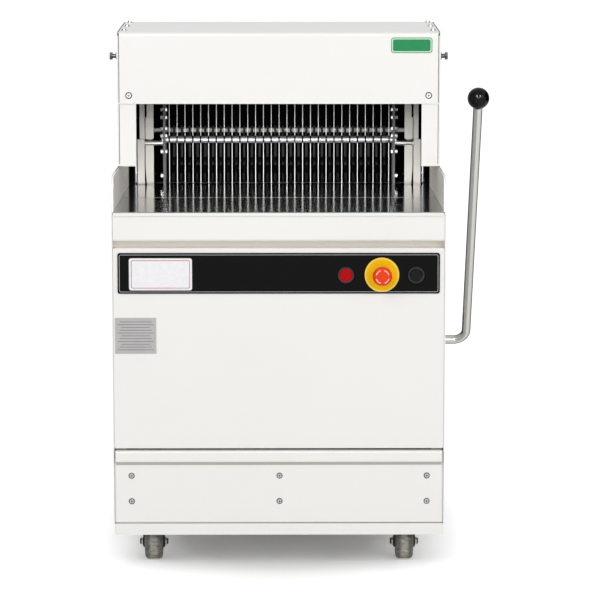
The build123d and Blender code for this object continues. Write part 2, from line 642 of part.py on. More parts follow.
# ---- knife frames: two welded frames whose knives stand in one row --------------
LUG_TOPS = (KNIFE_TOP_Z - LUG_HEIGHT / 2 + LUG_GRIP, KNIFE_BOTTOM_Z + LUG_HEIGHT / 2 - LUG_GRIP)


def knife_section(x):
    """Blade seen from above: square back to the front, ground edge to the back."""
    half, back, edge = KNIFE_THICK / 2, KNIFE_BACK_Y, KNIFE_BACK_Y + KNIFE_DEPTH
    return outline(level(KNIFE_BOTTOM_Z), (x - half, back), (x + half, back),
                   (x + half, edge - KNIFE_BEVEL), (x, edge), (x - half, edge - KNIFE_BEVEL))


FRAMES = {
    "front": (FRONT_FRAME_Y, FRONT_KNIVES, KNIFE_BACK_Y + KNIFE_DEPTH + 1.6),
    "rear": (REAR_FRAME_Y, REAR_KNIVES, KNIFE_BACK_Y - 1.4),
}
for which, (face_y, knife_xs, lug_end) in FRAMES.items():
    beam_mid = (BEAM_TOP_Z + BEAM + BEAM_BOTTOM_Z) / 2
    window = BEAM_TOP_Z - BEAM_BOTTOM_Z - BEAM
    lug_start = face_y + FRAME_DEPTH if which == "front" else face_y
    if which == "front":
        shoe_y = (face_y, GUIDE_Y - SEAT)
    else:
        shoe_y = (GUIDE_Y + GUIDE_THICK + SEAT, face_y + FRAME_DEPTH)
    with BuildPart() as knife_frame:
        with BuildSketch(facing(face_y)):
            with Locations((0, beam_mid)):
                RectangleRounded(2 * FRAME_HALF, BEAM_TOP_Z + BEAM - BEAM_BOTTOM_Z, 4.0)
                RectangleRounded(2 * (FRAME_HALF - STILE), window, 5.0, mode=Mode.SUBTRACT)
        extrude(amount=-FRAME_DEPTH)
        lug_x = (WEB_INNER_X + WEB - 11.0, CRANK_END_X - WEB + 3.0)[which == "rear"]
        lug_thick = (8.0, 6.0)[which == "rear"]
        pin_y = CRANK_Y + (-STROKE, STROKE)[which == "rear"]
        stub = 4.0 - EYE_GAP
        for sign in (-1, 1):
            with BuildSketch(across(sign * lug_x)):
                with Locations((pin_y, ROD_PIN_Z)):
                    Circle(10.0)
                with Locations((pin_y, BEAM_BOTTOM_Z - 1.0)):
                    Rectangle(FRAME_DEPTH, 2.0)
                make_hull()
            extrude(amount=sign * lug_thick)
            inward = which == "rear"
            stub_x = lug_x if inward else lug_x + lug_thick
            with BuildSketch(across(sign * stub_x)):
                with Locations((pin_y, ROD_PIN_Z)):
                    Circle(6.0)
            extrude(amount=sign * (-stub if inward else stub))
        for sign in (-1, 1):
            shoe_x = sign * (FRAME_HALF + SHOE_REACH / 2)
            with BuildSketch(facing(shoe_y[0])):
                with Locations((shoe_x, BEAM_TOP_Z + SHOE_HEIGHT / 2 + 4.0),
                               (shoe_x, BEAM_BOTTOM_Z + SHOE_HEIGHT / 2 - 4.0)):
                    RectangleRounded(SHOE_REACH, SHOE_HEIGHT, 3.0)
            extrude(amount=shoe_y[0] - shoe_y[1])
    save(knife_frame.part, f"{which}_knife_frame")

    with BuildPart() as clamps:
        for lug_z in LUG_TOPS:
            with BuildSketch(facing(lug_start)):
                with Locations(*[(x, lug_z) for x in knife_xs]):
                    Rectangle(LUG_WIDTH, LUG_HEIGHT)
            extrude(amount=lug_start - lug_end)
        with BuildSketch(level(KNIFE_BOTTOM_Z)):
            with Locations(*[(x, KNIFE_BACK_Y + KNIFE_DEPTH / 2) for x in knife_xs]):
                Rectangle(KNIFE_THICK + SLOT_PLAY, KNIFE_DEPTH + SLOT_PLAY)
        extrude(amount=KNIFE_TOP_Z - KNIFE_BOTTOM_Z, mode=Mode.SUBTRACT)
    save(clamps.part, f"{which}_knife_clamps")

    with BuildPart() as knives:
        for x in knife_xs:
            extrude(knife_section(x), amount=KNIFE_TOP_Z - KNIFE_BOTTOM_Z)
    save(knives.part, f"{which}_knives")

# ---- crank shaft, connecting rods, bearings -------------------------------------
crank_axis = Axis((CX, CY + CRANK_Y, CRANK_Z), (1, 0, 0))
with BuildPart() as crank_shaft:
    with BuildSketch(across(0)):
        with Locations((CRANK_Y, CRANK_Z)):
            Circle(JOURNAL_DIAMETER / 2)
    extrude(amount=WEB_INNER_X, both=True)
    for sign in (-1, 1):
        x = WEB_INNER_X
        for offset_y in (-STROKE, STROKE, None):
            with BuildSketch(across(sign * x)):
                with Locations((CRANK_Y, CRANK_Z)):
                    Circle(WEB_RADIUS)
            extrude(amount=sign * WEB)
            x += WEB
            if offset_y is not None:
                with BuildSketch(across(sign * x)):
                    with Locations((CRANK_Y + offset_y, CRANK_Z)):
                        Circle(PIN_DIAMETER / 2)
                extrude(amount=sign * PIN_LENGTH)
                x += PIN_LENGTH
        with BuildSketch(across(sign * x)):
            with Locations((CRANK_Y, CRANK_Z)):
                Circle(JOURNAL_DIAMETER / 2)
        extrude(amount=sign * (CHASSIS_X - x))
save(crank_shaft.part, "crank_shaft")

ROD_PLACES = {
    "front": (WEB_INNER_X + WEB + (PIN_LENGTH - ROD_THICK) / 2, -STROKE),
    "rear": (WEB_INNER_X + 2 * WEB + PIN_LENGTH + (PIN_LENGTH - ROD_THICK) / 2, STROKE),
}
for which, (rod_x, offset_y) in ROD_PLACES.items():
    with BuildPart() as rods:
        for sign in (-1, 1):
            with BuildSketch(across(sign * rod_x)):
                with Locations((CRANK_Y + offset_y, CRANK_Z + ROD_LENGTH / 2)):
                    Rectangle(12.0, ROD_LENGTH)
                with Locations((CRANK_Y + offset_y, CRANK_Z), (CRANK_Y + offset_y, ROD_PIN_Z)):
                    Circle(ROD_EYE)
                with Locations((CRANK_Y + offset_y, CRANK_Z)):
                    Circle(PIN_DIAMETER / 2 + BORE_FIT, mode=Mode.SUBTRACT)
                with Locations((CRANK_Y + offset_y, ROD_PIN_Z)):
                    Circle(6.0 + BORE_FIT, mode=Mode.SUBTRACT)
            extrude(amount=sign * ROD_THICK)
    save(rods.part, f"{which}_connecting_rods")


def flange_bearing(x, y, z, shaft, housing):
    """Ring section of a flanged bearing on a chassis plate."""
    with BuildSketch(across(x)) as ring:
        with Locations((y, z)):
            Circle(housing)
            Circle(shaft / 2 + BORE_FIT, mode=Mode.SUBTRACT)
    return ring.sketch


with BuildPart() as shaft_bearings:
    for sign in (-1, 1):
        ring = flange_bearing(sign * (CHASSIS_X - BEARING_THICK), CRANK_Y, CRANK_Z,
                              JOURNAL_DIAMETER, BEARING_RADIUS)
        extrude(ring, amount=sign * BEARING_THICK)
        ring = flange_bearing(sign * (CHASSIS_X - 5.0), PIVOT_Y, PIVOT_Z, SHAFT_DIAMETER, 19.0)
        extrude(ring, amount=sign * 5.0)
save(shaft_bearings.part, "shaft_bearings")

# ---- pulleys, belt and motor ----------------------------------------------------


def pulley_section(x, y, z, radius, bore):
    """Half section of a grooved pulley, for a revolve about its shaft."""
    half = PULLEY_WIDTH / 2
    plane = Plane(origin=(CX + x, CY + y, z), x_dir=(1, 0, 0), z_dir=(0, -1, 0))
    floor = radius - BELT_THICK
    return outline(plane, (-half, bore), (-half, radius), (-BELT_WIDTH / 2 - 1.0, radius),
                   (-BELT_WIDTH / 2, floor), (BELT_WIDTH / 2, floor),
                   (BELT_WIDTH / 2 + 1.0, radius), (half, radius), (half, bore))


motor_axis = Axis((CX, CY + MOTOR_Y, MOTOR_Z), (1, 0, 0))
with BuildPart() as crank_pulley:
    revolve(pulley_section(PULLEY_X, CRANK_Y, CRANK_Z, CRANK_PULLEY_DIAMETER / 2,
                           JOURNAL_DIAMETER / 2), axis=crank_axis)
    with BuildSketch(Plane(origin=(CX + PULLEY_X - PULLEY_WIDTH / 2, CY + CRANK_Y, CRANK_Z),
                           x_dir=(0, 1, 0), z_dir=(1, 0, 0))):
        with PolarLocations(31.0, 5):
            Circle(9.0)
    extrude(amount=PULLEY_WIDTH, mode=Mode.SUBTRACT)
save(crank_pulley.part, "crank_pulley")

with BuildPart() as motor_pulley:
    revolve(pulley_section(PULLEY_X, MOTOR_Y, MOTOR_Z, MOTOR_PULLEY_DIAMETER / 2,
                           MOTOR_SHAFT / 2), axis=motor_axis)
    with BuildSketch(across(PULLEY_X - PULLEY_WIDTH / 2)):
        with Locations((MOTOR_Y, MOTOR_Z)):
            Circle(MOTOR_SHAFT / 2)
    extrude(amount=MOTOR_X + 20.0 - PULLEY_X + PULLEY_WIDTH / 2)
save(motor_pulley.part, "motor_pulley")

with BuildPart() as drive_belt:
    with BuildSketch(across(PULLEY_X)) as loop:
        with Locations((CRANK_Y, CRANK_Z)):
            Circle(CRANK_PULLEY_DIAMETER / 2)
        with Locations((MOTOR_Y, MOTOR_Z)):
            Circle(MOTOR_PULLEY_DIAMETER / 2)
        make_hull()
    with BuildSketch(across(PULLEY_X)) as inside:
        with Locations((CRANK_Y, CRANK_Z)):
            Circle(CRANK_PULLEY_DIAMETER / 2 - BELT_THICK + SEAT)
        with Locations((MOTOR_Y, MOTOR_Z)):
            Circle(MOTOR_PULLEY_DIAMETER / 2 - BELT_THICK + SEAT)
        make_hull()
    extrude(loop.sketch, amount=BELT_WIDTH / 2 - 0.5, both=True)
    extrude(inside.sketch, amount=BELT_WIDTH / 2, both=True, mode=Mode.SUBTRACT)
save(drive_belt.part, "drive_belt")

with BuildPart() as motor:
    with BuildSketch(Plane(origin=(CX + MOTOR_X, CY + MOTOR_Y, MOTOR_Z),
                           x_dir=(1, 0, 0), z_dir=(0, -1, 0))):
        radius = MOTOR_DIAMETER / 2
        with BuildLine():
            profile = [(0, MOTOR_SHAFT / 2 + 0.3), (0, 40.0), (10.0, radius - 4.0)]
            fins = 9
            fin_pitch = (MOTOR_LENGTH - 70.0) / fins
            for i in range(fins):
                start = 20.0 + i * fin_pitch
                profile += [(start, radius - 8.0), (start, radius),
                            (start + fin_pitch / 2, radius), (start + fin_pitch / 2, radius - 8.0)]
            profile += [(MOTOR_LENGTH - 50.0, radius - 4.0), (MOTOR_LENGTH - 8.0, radius - 6.0),
                        (MOTOR_LENGTH, radius - 20.0), (MOTOR_LENGTH, 0), (24.0, 0),
                        (24.0, MOTOR_SHAFT / 2 + 0.3)]
            Polyline(*profile, close=True)
        make_face()
    revolve(axis=motor_axis)
    with BuildSketch(level(BASE_TOP_Z)):
        with Locations((MOTOR_X + 90.0, MOTOR_Y)):
            RectangleRounded(110.0, 150.0, 8.0)
        with Locations((MOTOR_X + 90.0, MOTOR_Y)):
            with GridLocations(84.0, 124.0, 2, 2):
                Circle(5.0, mode=Mode.SUBTRACT)
    extrude(amount=10.0)
    with BuildSketch(level(BASE_TOP_Z)):
        with Locations((MOTOR_X + 90.0, MOTOR_Y)):
            with GridLocations(84.0, 90.0, 2, 2):
                Rectangle(14.0, 16.0)
    extrude(amount=MOTOR_SHAFT_HEIGHT - 30.0)
save(motor.part, "motor")

with BuildPart() as electrical_box:
    with BuildSketch(level(BASE_TOP_Z)):
        with Locations((-170.0, 110.0)):
            RectangleRounded(150.0, 100.0, 6.0)
    extrude(amount=170.0)
    fillet(electrical_box.faces().sort_by(Axis.Z)[-1].edges(), 3.0)
save(electrical_box.part, "electrical_box")

# ---- lever, cross shaft and rocker arms -----------------------------------------
lean = radians(LEVER_LEAN)
lever_up = (0, -sin(lean), cos(lean))
lever_plane = Plane(origin=(CX, CY + PIVOT_Y, PIVOT_Z), x_dir=(1, 0, 0),
                    z_dir=Vector(1, 0, 0).cross(Vector(*lever_up)))
stud_start = LEVER_LENGTH - BALL_DIAMETER / 2 + 1.0
with BuildPart() as lever_rod:
    with BuildLine(lever_plane):
        FilletPolyline((HUB_END_X - 10.0, 0), (LEVER_X, 0), (LEVER_X, stud_start), radius=LEVER_BEND)
    with BuildSketch(Plane(origin=(CX + HUB_END_X - 10.0, CY + PIVOT_Y, PIVOT_Z),
                           x_dir=(0, 1, 0), z_dir=(1, 0, 0))):
        Circle(LEVER_DIAMETER / 2)
    sweep()
    tip = Vector(CX + LEVER_X, CY + PIVOT_Y, PIVOT_Z) + Vector(*lever_up) * stud_start
    with BuildSketch(Plane(origin=tip, z_dir=Vector(*lever_up))):
        Circle(BALL_STUD / 2)
    extrude(amount=16.0)
save(lever_rod.part, "lever_rod")

with BuildPart() as ball_knob:
    centre = Vector(CX + LEVER_X, CY + PIVOT_Y, PIVOT_Z) + Vector(*lever_up) * LEVER_LENGTH
    with Locations(Location(centre)):
        Sphere(BALL_DIAMETER / 2)
    split(bisect_by=Plane(origin=tip, z_dir=Vector(*lever_up)), keep=Keep.TOP)
    with BuildSketch(Plane(origin=tip, z_dir=Vector(*lever_up))):
        Circle(BALL_STUD / 2)
    extrude(amount=17.0, mode=Mode.SUBTRACT)
save(ball_knob.part, "ball_knob")

with BuildPart() as cross_shaft:
    with BuildSketch(across(-CHASSIS_X - CHASSIS_THICK - 4.0)):
        with Locations((PIVOT_Y, PIVOT_Z)):
            Circle(SHAFT_DIAMETER / 2)
    extrude(amount=CHASSIS_X + CHASSIS_THICK + 4.0 + HALF + 1.0)
    with BuildSketch(across(HALF + 1.0)):
        with Locations((PIVOT_Y, PIVOT_Z)):
            Circle(HUB_DIAMETER / 2)
    extrude(amount=HUB_END_X - HALF - 1.0)
    chamfer(cross_shaft.faces().sort_by(Axis.X)[-1].edges(), 1.5)
    with BuildSketch(across(HUB_END_X - 10.0)):
        with Locations((PIVOT_Y, PIVOT_Z)):
            Circle(LEVER_DIAMETER / 2)
    extrude(amount=12.0, mode=Mode.SUBTRACT)
save(cross_shaft.part, "cross_shaft")

roller_y = YOKE_Y
roller_z = YOKE_LOW_Z
with BuildPart() as rocker_arms:
    for sign in (-1, 1):
        with BuildSketch(across(sign * ROCKER_X)):
            with Locations((PIVOT_Y, PIVOT_Z)):
                Circle(20.0)
            with Locations((roller_y, roller_z)):
                Circle(11.0)
            make_hull()
            with Locations((PIVOT_Y, PIVOT_Z)):
                Circle(SHAFT_DIAMETER / 2, mode=Mode.SUBTRACT)
            with Locations(((PIVOT_Y + roller_y) / 2, (PIVOT_Z + roller_z) / 2)):
                SlotOverall(70.0, 12.0, rotation=90 + degrees(ROCKER_SWING), mode=Mode.SUBTRACT)
        extrude(amount=sign * ROCKER_THICK)
        with BuildSketch(across(sign * ROCKER_X)):
            with Locations((roller_y, roller_z)):
                Circle(5.0)
        extrude(amount=-sign * (ROCKER_X - YOKE_X - 2.0))
        with BuildSketch(across(sign * (YOKE_X + SEAT))):
            with Locations((roller_y, roller_z)):
                Circle(YOKE_ROLLER / 2)
        extrude(amount=sign * (YOKE_THICK + 2.0))
save(rocker_arms.part, "rocker_arms")

# ---- pusher: two side plates on guide rods, a bar and fingers between the knives -
with BuildPart() as pusher_carriage:
    slot_mid = (YOKE_LOW_Z + YOKE_Z) / 2
    slot_length = YOKE_Z - YOKE_LOW_Z + YOKE_ROLLER + 2 * YOKE_PLAY + 2.0
    for sign in (-1, 1):
        with BuildSketch(across(sign * YOKE_X)) as plate:
            with BuildLine():
                FilletPolyline(
                    (YOKE_Y - 20.0, YOKE_LOW_Z - 22.0), (UPRIGHT_Y + 20.0, YOKE_LOW_Z - 22.0),
                    (UPRIGHT_Y + UPRIGHT_WIDTH / 2, YOKE_Z + 24.0),
                    (UPRIGHT_Y + UPRIGHT_WIDTH / 2, PUSHER_TOP_Z),
                    (UPRIGHT_Y - UPRIGHT_WIDTH / 2, PUSHER_TOP_Z),
                    (UPRIGHT_Y - UPRIGHT_WIDTH / 2, YOKE_Z + 18.0), (YOKE_Y - 20.0, YOKE_Z + 18.0),
                    radius=5.0, close=True,
                )
            make_face()
            with Locations((YOKE_Y, slot_mid)):
                SlotOverall(slot_length, YOKE_ROLLER + 2 * YOKE_PLAY, rotation=90, mode=Mode.SUBTRACT)
        extrude(amount=sign * YOKE_THICK)
        for block_y in (YOKE_Y - 16.0, UPRIGHT_Y - 15.0):
            with BuildSketch(facing(block_y)):
                with Locations((sign * (YOKE_X - 11.5), GUIDE_ROD_Z)):
                    Rectangle(23.0, 26.0)
                with Locations((sign * GUIDE_ROD_X, GUIDE_ROD_Z)):
                    Circle(GUIDE_ROD_DIAMETER / 2 + BORE_FIT, mode=Mode.SUBTRACT)
            extrude(amount=-20.0)
    with BuildSketch(across(0)):
        with Locations((UPRIGHT_Y, TABLE_Z - 26.0)):
            Rectangle(14.0, 20.0)
        with Locations((UPRIGHT_Y, PUSHER_TOP_Z - 11.0)):
            RectangleRounded(12.0, 9.0, 2.0)
    extrude(amount=YOKE_X, both=True)
save(pusher_carriage.part, "pusher_carriage")

with BuildPart() as pusher_fingers:
    low = TABLE_Z + TABLE_CLEARANCE
    back = UPRIGHT_Y - 6.0
    for x in FINGER_XS:
        with BuildSketch(across(x - FINGER_THICK / 2)):
            with BuildLine():
                Line((FINGER_TOE_Y + 6.0, low), (back, low))
                Line((back, low), (back, PUSHER_TOP_Z - 3.0))
                Line((back, PUSHER_TOP_Z - 3.0), (back - 8.0, PUSHER_TOP_Z - 3.0))
                Line((back - 8.0, PUSHER_TOP_Z - 3.0), (back - 8.0, FINGER_TOE_Z + 14.0))
                RadiusArc((back - 8.0, FINGER_TOE_Z + 14.0), (back - 22.0, FINGER_TOE_Z), -14.0)
                Line((back - 22.0, FINGER_TOE_Z), (FINGER_TOE_Y, FINGER_TOE_Z - 14.0))
                Line((FINGER_TOE_Y, FINGER_TOE_Z - 14.0), (FINGER_TOE_Y + 6.0, low))
            make_face()
        extrude(amount=FINGER_THICK)
save(pusher_fingers.part, "pusher_fingers")

with BuildPart() as guide_rods:
    for sign in (-1, 1):
        with BuildSketch(facing(GUIDE_ROD_FRONT_Y)):
            with Locations((sign * GUIDE_ROD_X, GUIDE_ROD_Z)):
                Circle(GUIDE_ROD_DIAMETER / 2)
        extrude(amount=GUIDE_ROD_FRONT_Y - BACK_Y + SKIN)
    span = CHASSIS_X - GUIDE_ROD_X + 14.0
    for sign in (-1, 1):
        with BuildSketch(facing(GUIDE_ROD_FRONT_Y)):
            with Locations((sign * (CHASSIS_X - span / 2), GUIDE_ROD_Z)):
                Rectangle(span, 30.0)
        extrude(amount=-14.0)
        with BuildSketch(facing(BACK_Y - SKIN)):
            with Locations((sign * GUIDE_ROD_X, GUIDE_ROD_Z)):
                Circle(YOKE_X - GUIDE_ROD_X - FIT_GAP)
        extrude(amount=8.0)
save(guide_rods.part, "guide_rods")

# ---- crumb tray -----------------------------------------------------------------
with BuildPart() as crumb_tray:
    length = BACK_Y + SEAT + SKIN - TRAY_FRONT_Y
    with BuildSketch(level(TRAY_FLOOR_Z)):
        with Locations((0, TRAY_FRONT_Y + length / 2)):
            RectangleRounded(2 * TRAY_HALF, length, 4.0)
    extrude(amount=TRAY_WALL)
    offset(amount=-SKIN, openings=crumb_tray.faces().sort_by(Axis.Z)[-1])
    with BuildSketch(facing(BACK_Y + SEAT)):
        with Locations((0, TRAY_FLOOR_Z + TRAY_WALL / 2)):
            RectangleRounded(2 * TRAY_HALF + 20.0, TRAY_WALL + 16.0, 4.0)
    extrude(amount=-SKIN)
    with BuildSketch(across(0)):
        with BuildLine():
            FilletPolyline(
                (BACK_Y + SEAT + SKIN / 2, TRAY_FLOOR_Z + 4.0), (BACK_Y + 22.0, TRAY_FLOOR_Z + 4.0),
                (BACK_Y + 22.0, TRAY_FLOOR_Z + 14.0), radius=3.0)
            offset(amount=2.0, side=Side.LEFT)
        make_face()
    extrude(amount=45.0, both=True)
save(crumb_tray.part, "crumb_tray")

with BuildPart() as tray_runners:
    for sign in (-1, 1):
        with BuildSketch(facing(CHASSIS_Y[0])):
            with BuildLine():
                inner, outer = sign * (TRAY_HALF - 12.0), sign * (TRAY_HALF + 2.5)
                floor = TRAY_FLOOR_Z - SEAT
                Polyline((inner, floor), (sign * (TRAY_HALF + 0.5), floor),
                         (sign * (TRAY_HALF + 0.5), floor + 20.0), (outer, floor + 20.0),
                         (outer, floor - 2.0), (inner, floor - 2.0), close=True)
            make_face()
        extrude(amount=CHASSIS_Y[0] - BACK_Y + SKIN)
    with BuildSketch(facing(CHASSIS_Y[0])):
        with Locations((0, TRAY_FLOOR_Z - SEAT - 12.0)):
            Rectangle(2 * CHASSIS_X, 20.0)
    extrude(amount=-3.0)
save(tray_runners.part, "tray_runners")

# ---- infeed lid and its handle ---------------------------------------------------
rise = SKIN / cos(radians(LID_PITCH))
with BuildPart() as infeed_lid:
    extrude(folded(SKIN, *LID_LINE, radius=14.0), amount=HOOD_HALF, both=True)
    for x in (-HINGE_X, HINGE_X):
        for side_x in (x - 1.5 * KNUCKLE, x + 0.5 * KNUCKLE + SEAT):
            near, far = LID_LINE[0][0] + 1.0, LID_LINE[0][0] + 36.0
            slope = tan(radians(LID_PITCH))
            at = [LID_LINE[0][1] - (y - LID_LINE[0][0]) * slope + rise for y in (near, far)]
            leaf = outline(across(side_x), (near, at[0]), (far, at[1]), (far, at[1] + 2.0),
                           (HINGE_Y, HINGE_Z + HINGE_BARREL / 2), (HINGE_Y, HINGE_Z))
            extrude(leaf, amount=KNUCKLE - SEAT)
            extrude(knuckle(side_x), amount=KNUCKLE - SEAT)
            with BuildSketch(across(side_x)):
                with Locations((HINGE_Y, HINGE_Z)):
                    Circle(HINGE_PIN / 2 + BORE_FIT)
            extrude(amount=KNUCKLE - SEAT, mode=Mode.SUBTRACT)
save(infeed_lid.part, "infeed_lid")

with BuildPart() as lid_handle:
    wall = LID_CORNER[0] + SKIN
    grip = Plane(origin=(CX, CY + wall, LID_HANDLE_Z), x_dir=(1, 0, 0), z_dir=(0, 0, 1))
    with BuildLine(grip):
        FilletPolyline(
            (-LID_HANDLE_HALF, 0), (-LID_HANDLE_HALF, LID_HANDLE_REACH - 5.0),
            (LID_HANDLE_HALF, LID_HANDLE_REACH - 5.0), (LID_HANDLE_HALF, 0), radius=12.0)
    with BuildSketch(Plane(origin=(CX - LID_HANDLE_HALF, CY + wall, LID_HANDLE_Z), z_dir=(0, 1, 0))):
        Circle(5.0)
    sweep()
save(lid_handle.part, "lid_handle")

# ---- controls -------------------------------------------------------------------


def turned(x, *points):
    """Half section of a turned piece on the control axis at x: (radius, y) points."""
    plane = Plane(origin=(CX + x, CY, CONTROL_Z), x_dir=(1, 0, 0), z_dir=(0, 0, 1))
    return outline(plane, *points)


def control_axis(x):
    return Axis((CX + x, CY, CONTROL_Z), (0, 1, 0))


def contact_block(x):
    """Switch housing behind the panel, seen from the front."""
    with BuildSketch(facing(BARREL_END_Y)) as block:
        with Locations((x, CONTROL_Z)):
            RectangleRounded(30.0, 40.0, 3.0)
    return block.sketch


strip_face = -STRIP_THICK
with BuildPart() as estop_legend:
    with BuildSketch(facing(strip_face)):
        with Locations((ESTOP_X, CONTROL_Z)):
            Circle(LEGEND_DIAMETER / 2)
            Circle(BARREL_DIAMETER / 2, mode=Mode.SUBTRACT)
    extrude(amount=LEGEND_THICK)
save(estop_legend.part, "estop_legend")

legend_face = strip_face - LEGEND_THICK
collar_face = legend_face - ESTOP_COLLAR_THICK
stem = STEM_DIAMETER / 2
barrel = BARREL_DIAMETER / 2
with BuildPart() as estop_head:
    rear_y = -ESTOP_FRONT
    front_y = rear_y - ESTOP_HEAD_THICK
    wide = ESTOP_HEAD_DIAMETER / 2
    revolve(
        turned(ESTOP_X, (0, front_y), (wide - 4.5, front_y), (wide - 2.0, front_y + 1.5),
               (wide, front_y + 6.5), (wide, front_y + 9.0), (wide - 3.5, rear_y), (stem, rear_y),
               (stem, BARREL_END_Y - BUTTON_TRAVEL - 1.0), (0, BARREL_END_Y - BUTTON_TRAVEL - 1.0)),
        axis=control_axis(ESTOP_X),
    )
save(estop_head.part, "estop_head")

bezel_face = strip_face - BEZEL_THICK
cap_front = bezel_face - CAP_PROUD
cap_back = cap_front + CAP_THICK
with BuildPart() as control_bodies:
    revolve(
        turned(ESTOP_X, (stem + BORE_FIT, collar_face), (ESTOP_COLLAR / 2 - 2.0, collar_face),
               (ESTOP_COLLAR / 2, legend_face), (barrel, legend_face),
               (barrel, BARREL_END_Y), (stem + BORE_FIT, BARREL_END_Y)),
        axis=control_axis(ESTOP_X),
    )
    extrude(contact_block(ESTOP_X), amount=-CONTACT_DEPTH)
    for x in BUTTON_X.values():
        revolve(
            turned(x, (CAP_DIAMETER / 2 + CAP_GAP, bezel_face), (BEZEL_DIAMETER / 2 - 1.0, bezel_face),
                   (BEZEL_DIAMETER / 2, strip_face), (barrel, strip_face), (barrel, BARREL_END_Y),
                   (stem + BORE_FIT, BARREL_END_Y), (stem + BORE_FIT, strip_face - 0.6),
                   (CAP_DIAMETER / 2 + CAP_GAP, strip_face - 0.6)),
            axis=control_axis(x),
        )
        extrude(contact_block(x), amount=-CONTACT_DEPTH)
save(control_bodies.part, "control_bodies")

for name, x in BUTTON_X.items():
    with BuildPart() as button:
        revolve(
            turned(x, (0, cap_front), (CAP_DIAMETER / 2 - 1.5, cap_front),
                   (CAP_DIAMETER / 2, cap_front + 1.5), (CAP_DIAMETER / 2, cap_back), (stem, cap_back),
                   (stem, BARREL_END_Y - BUTTON_TRAVEL - 1.0), (0, BARREL_END_Y - BUTTON_TRAVEL - 1.0)),
            axis=control_axis(x),
        )
    save(button.part, name)

# ---- side bolts -----------------------------------------------------------------
with BuildPart() as side_bolts:
    for sign in (-1, 1):
        spot = (SIDE_BOLT_Y, SIDE_BOLT_Z)
        for start, length, size, corners in (
            (0.0, 3.0, 6.5, True), (3.0, 6.0, 4.0, False), (9.0, SIDE_BOLT_REACH - 9.0, 6.5, True),
        ):
            with BuildSketch(across(sign * (HALF + start))):
                with Locations(spot):
                    if corners:
                        RegularPolygon(size, 6, major_radius=False)
                    else:
                        Circle(size)
            extrude(amount=sign * length)
save(side_bolts.part, "side_bolts")

# ---- casters --------------------------------------------------------------------
wheel_r = WHEEL_DIAMETER / 2
with BuildPart() as caster_plates:
    for x in (-CASTER_X, CASTER_X):
        for y in CASTER_Y:
            with BuildSketch(level(CASTER_HEIGHT - CASTER_PLATE[2])):
                with Locations((x, y)):
                    RectangleRounded(CASTER_PLATE[0], CASTER_PLATE[1], 6.0)
                    with GridLocations(CASTER_PLATE[0] - 20.0, CASTER_PLATE[1] - 20.0, 2, 2):
                        Circle(4.2, mode=Mode.SUBTRACT)
            extrude(amount=CASTER_PLATE[2])
            with BuildSketch(level(CASTER_HEIGHT - CASTER_PLATE[2])):
                with Locations((x, y)):
                    Circle(KINGPIN_DIAMETER / 2)
            extrude(amount=-(CASTER_HEIGHT - CASTER_PLATE[2] - WHEEL_DIAMETER - 2.5))
save(caster_plates.part, "caster_plates")

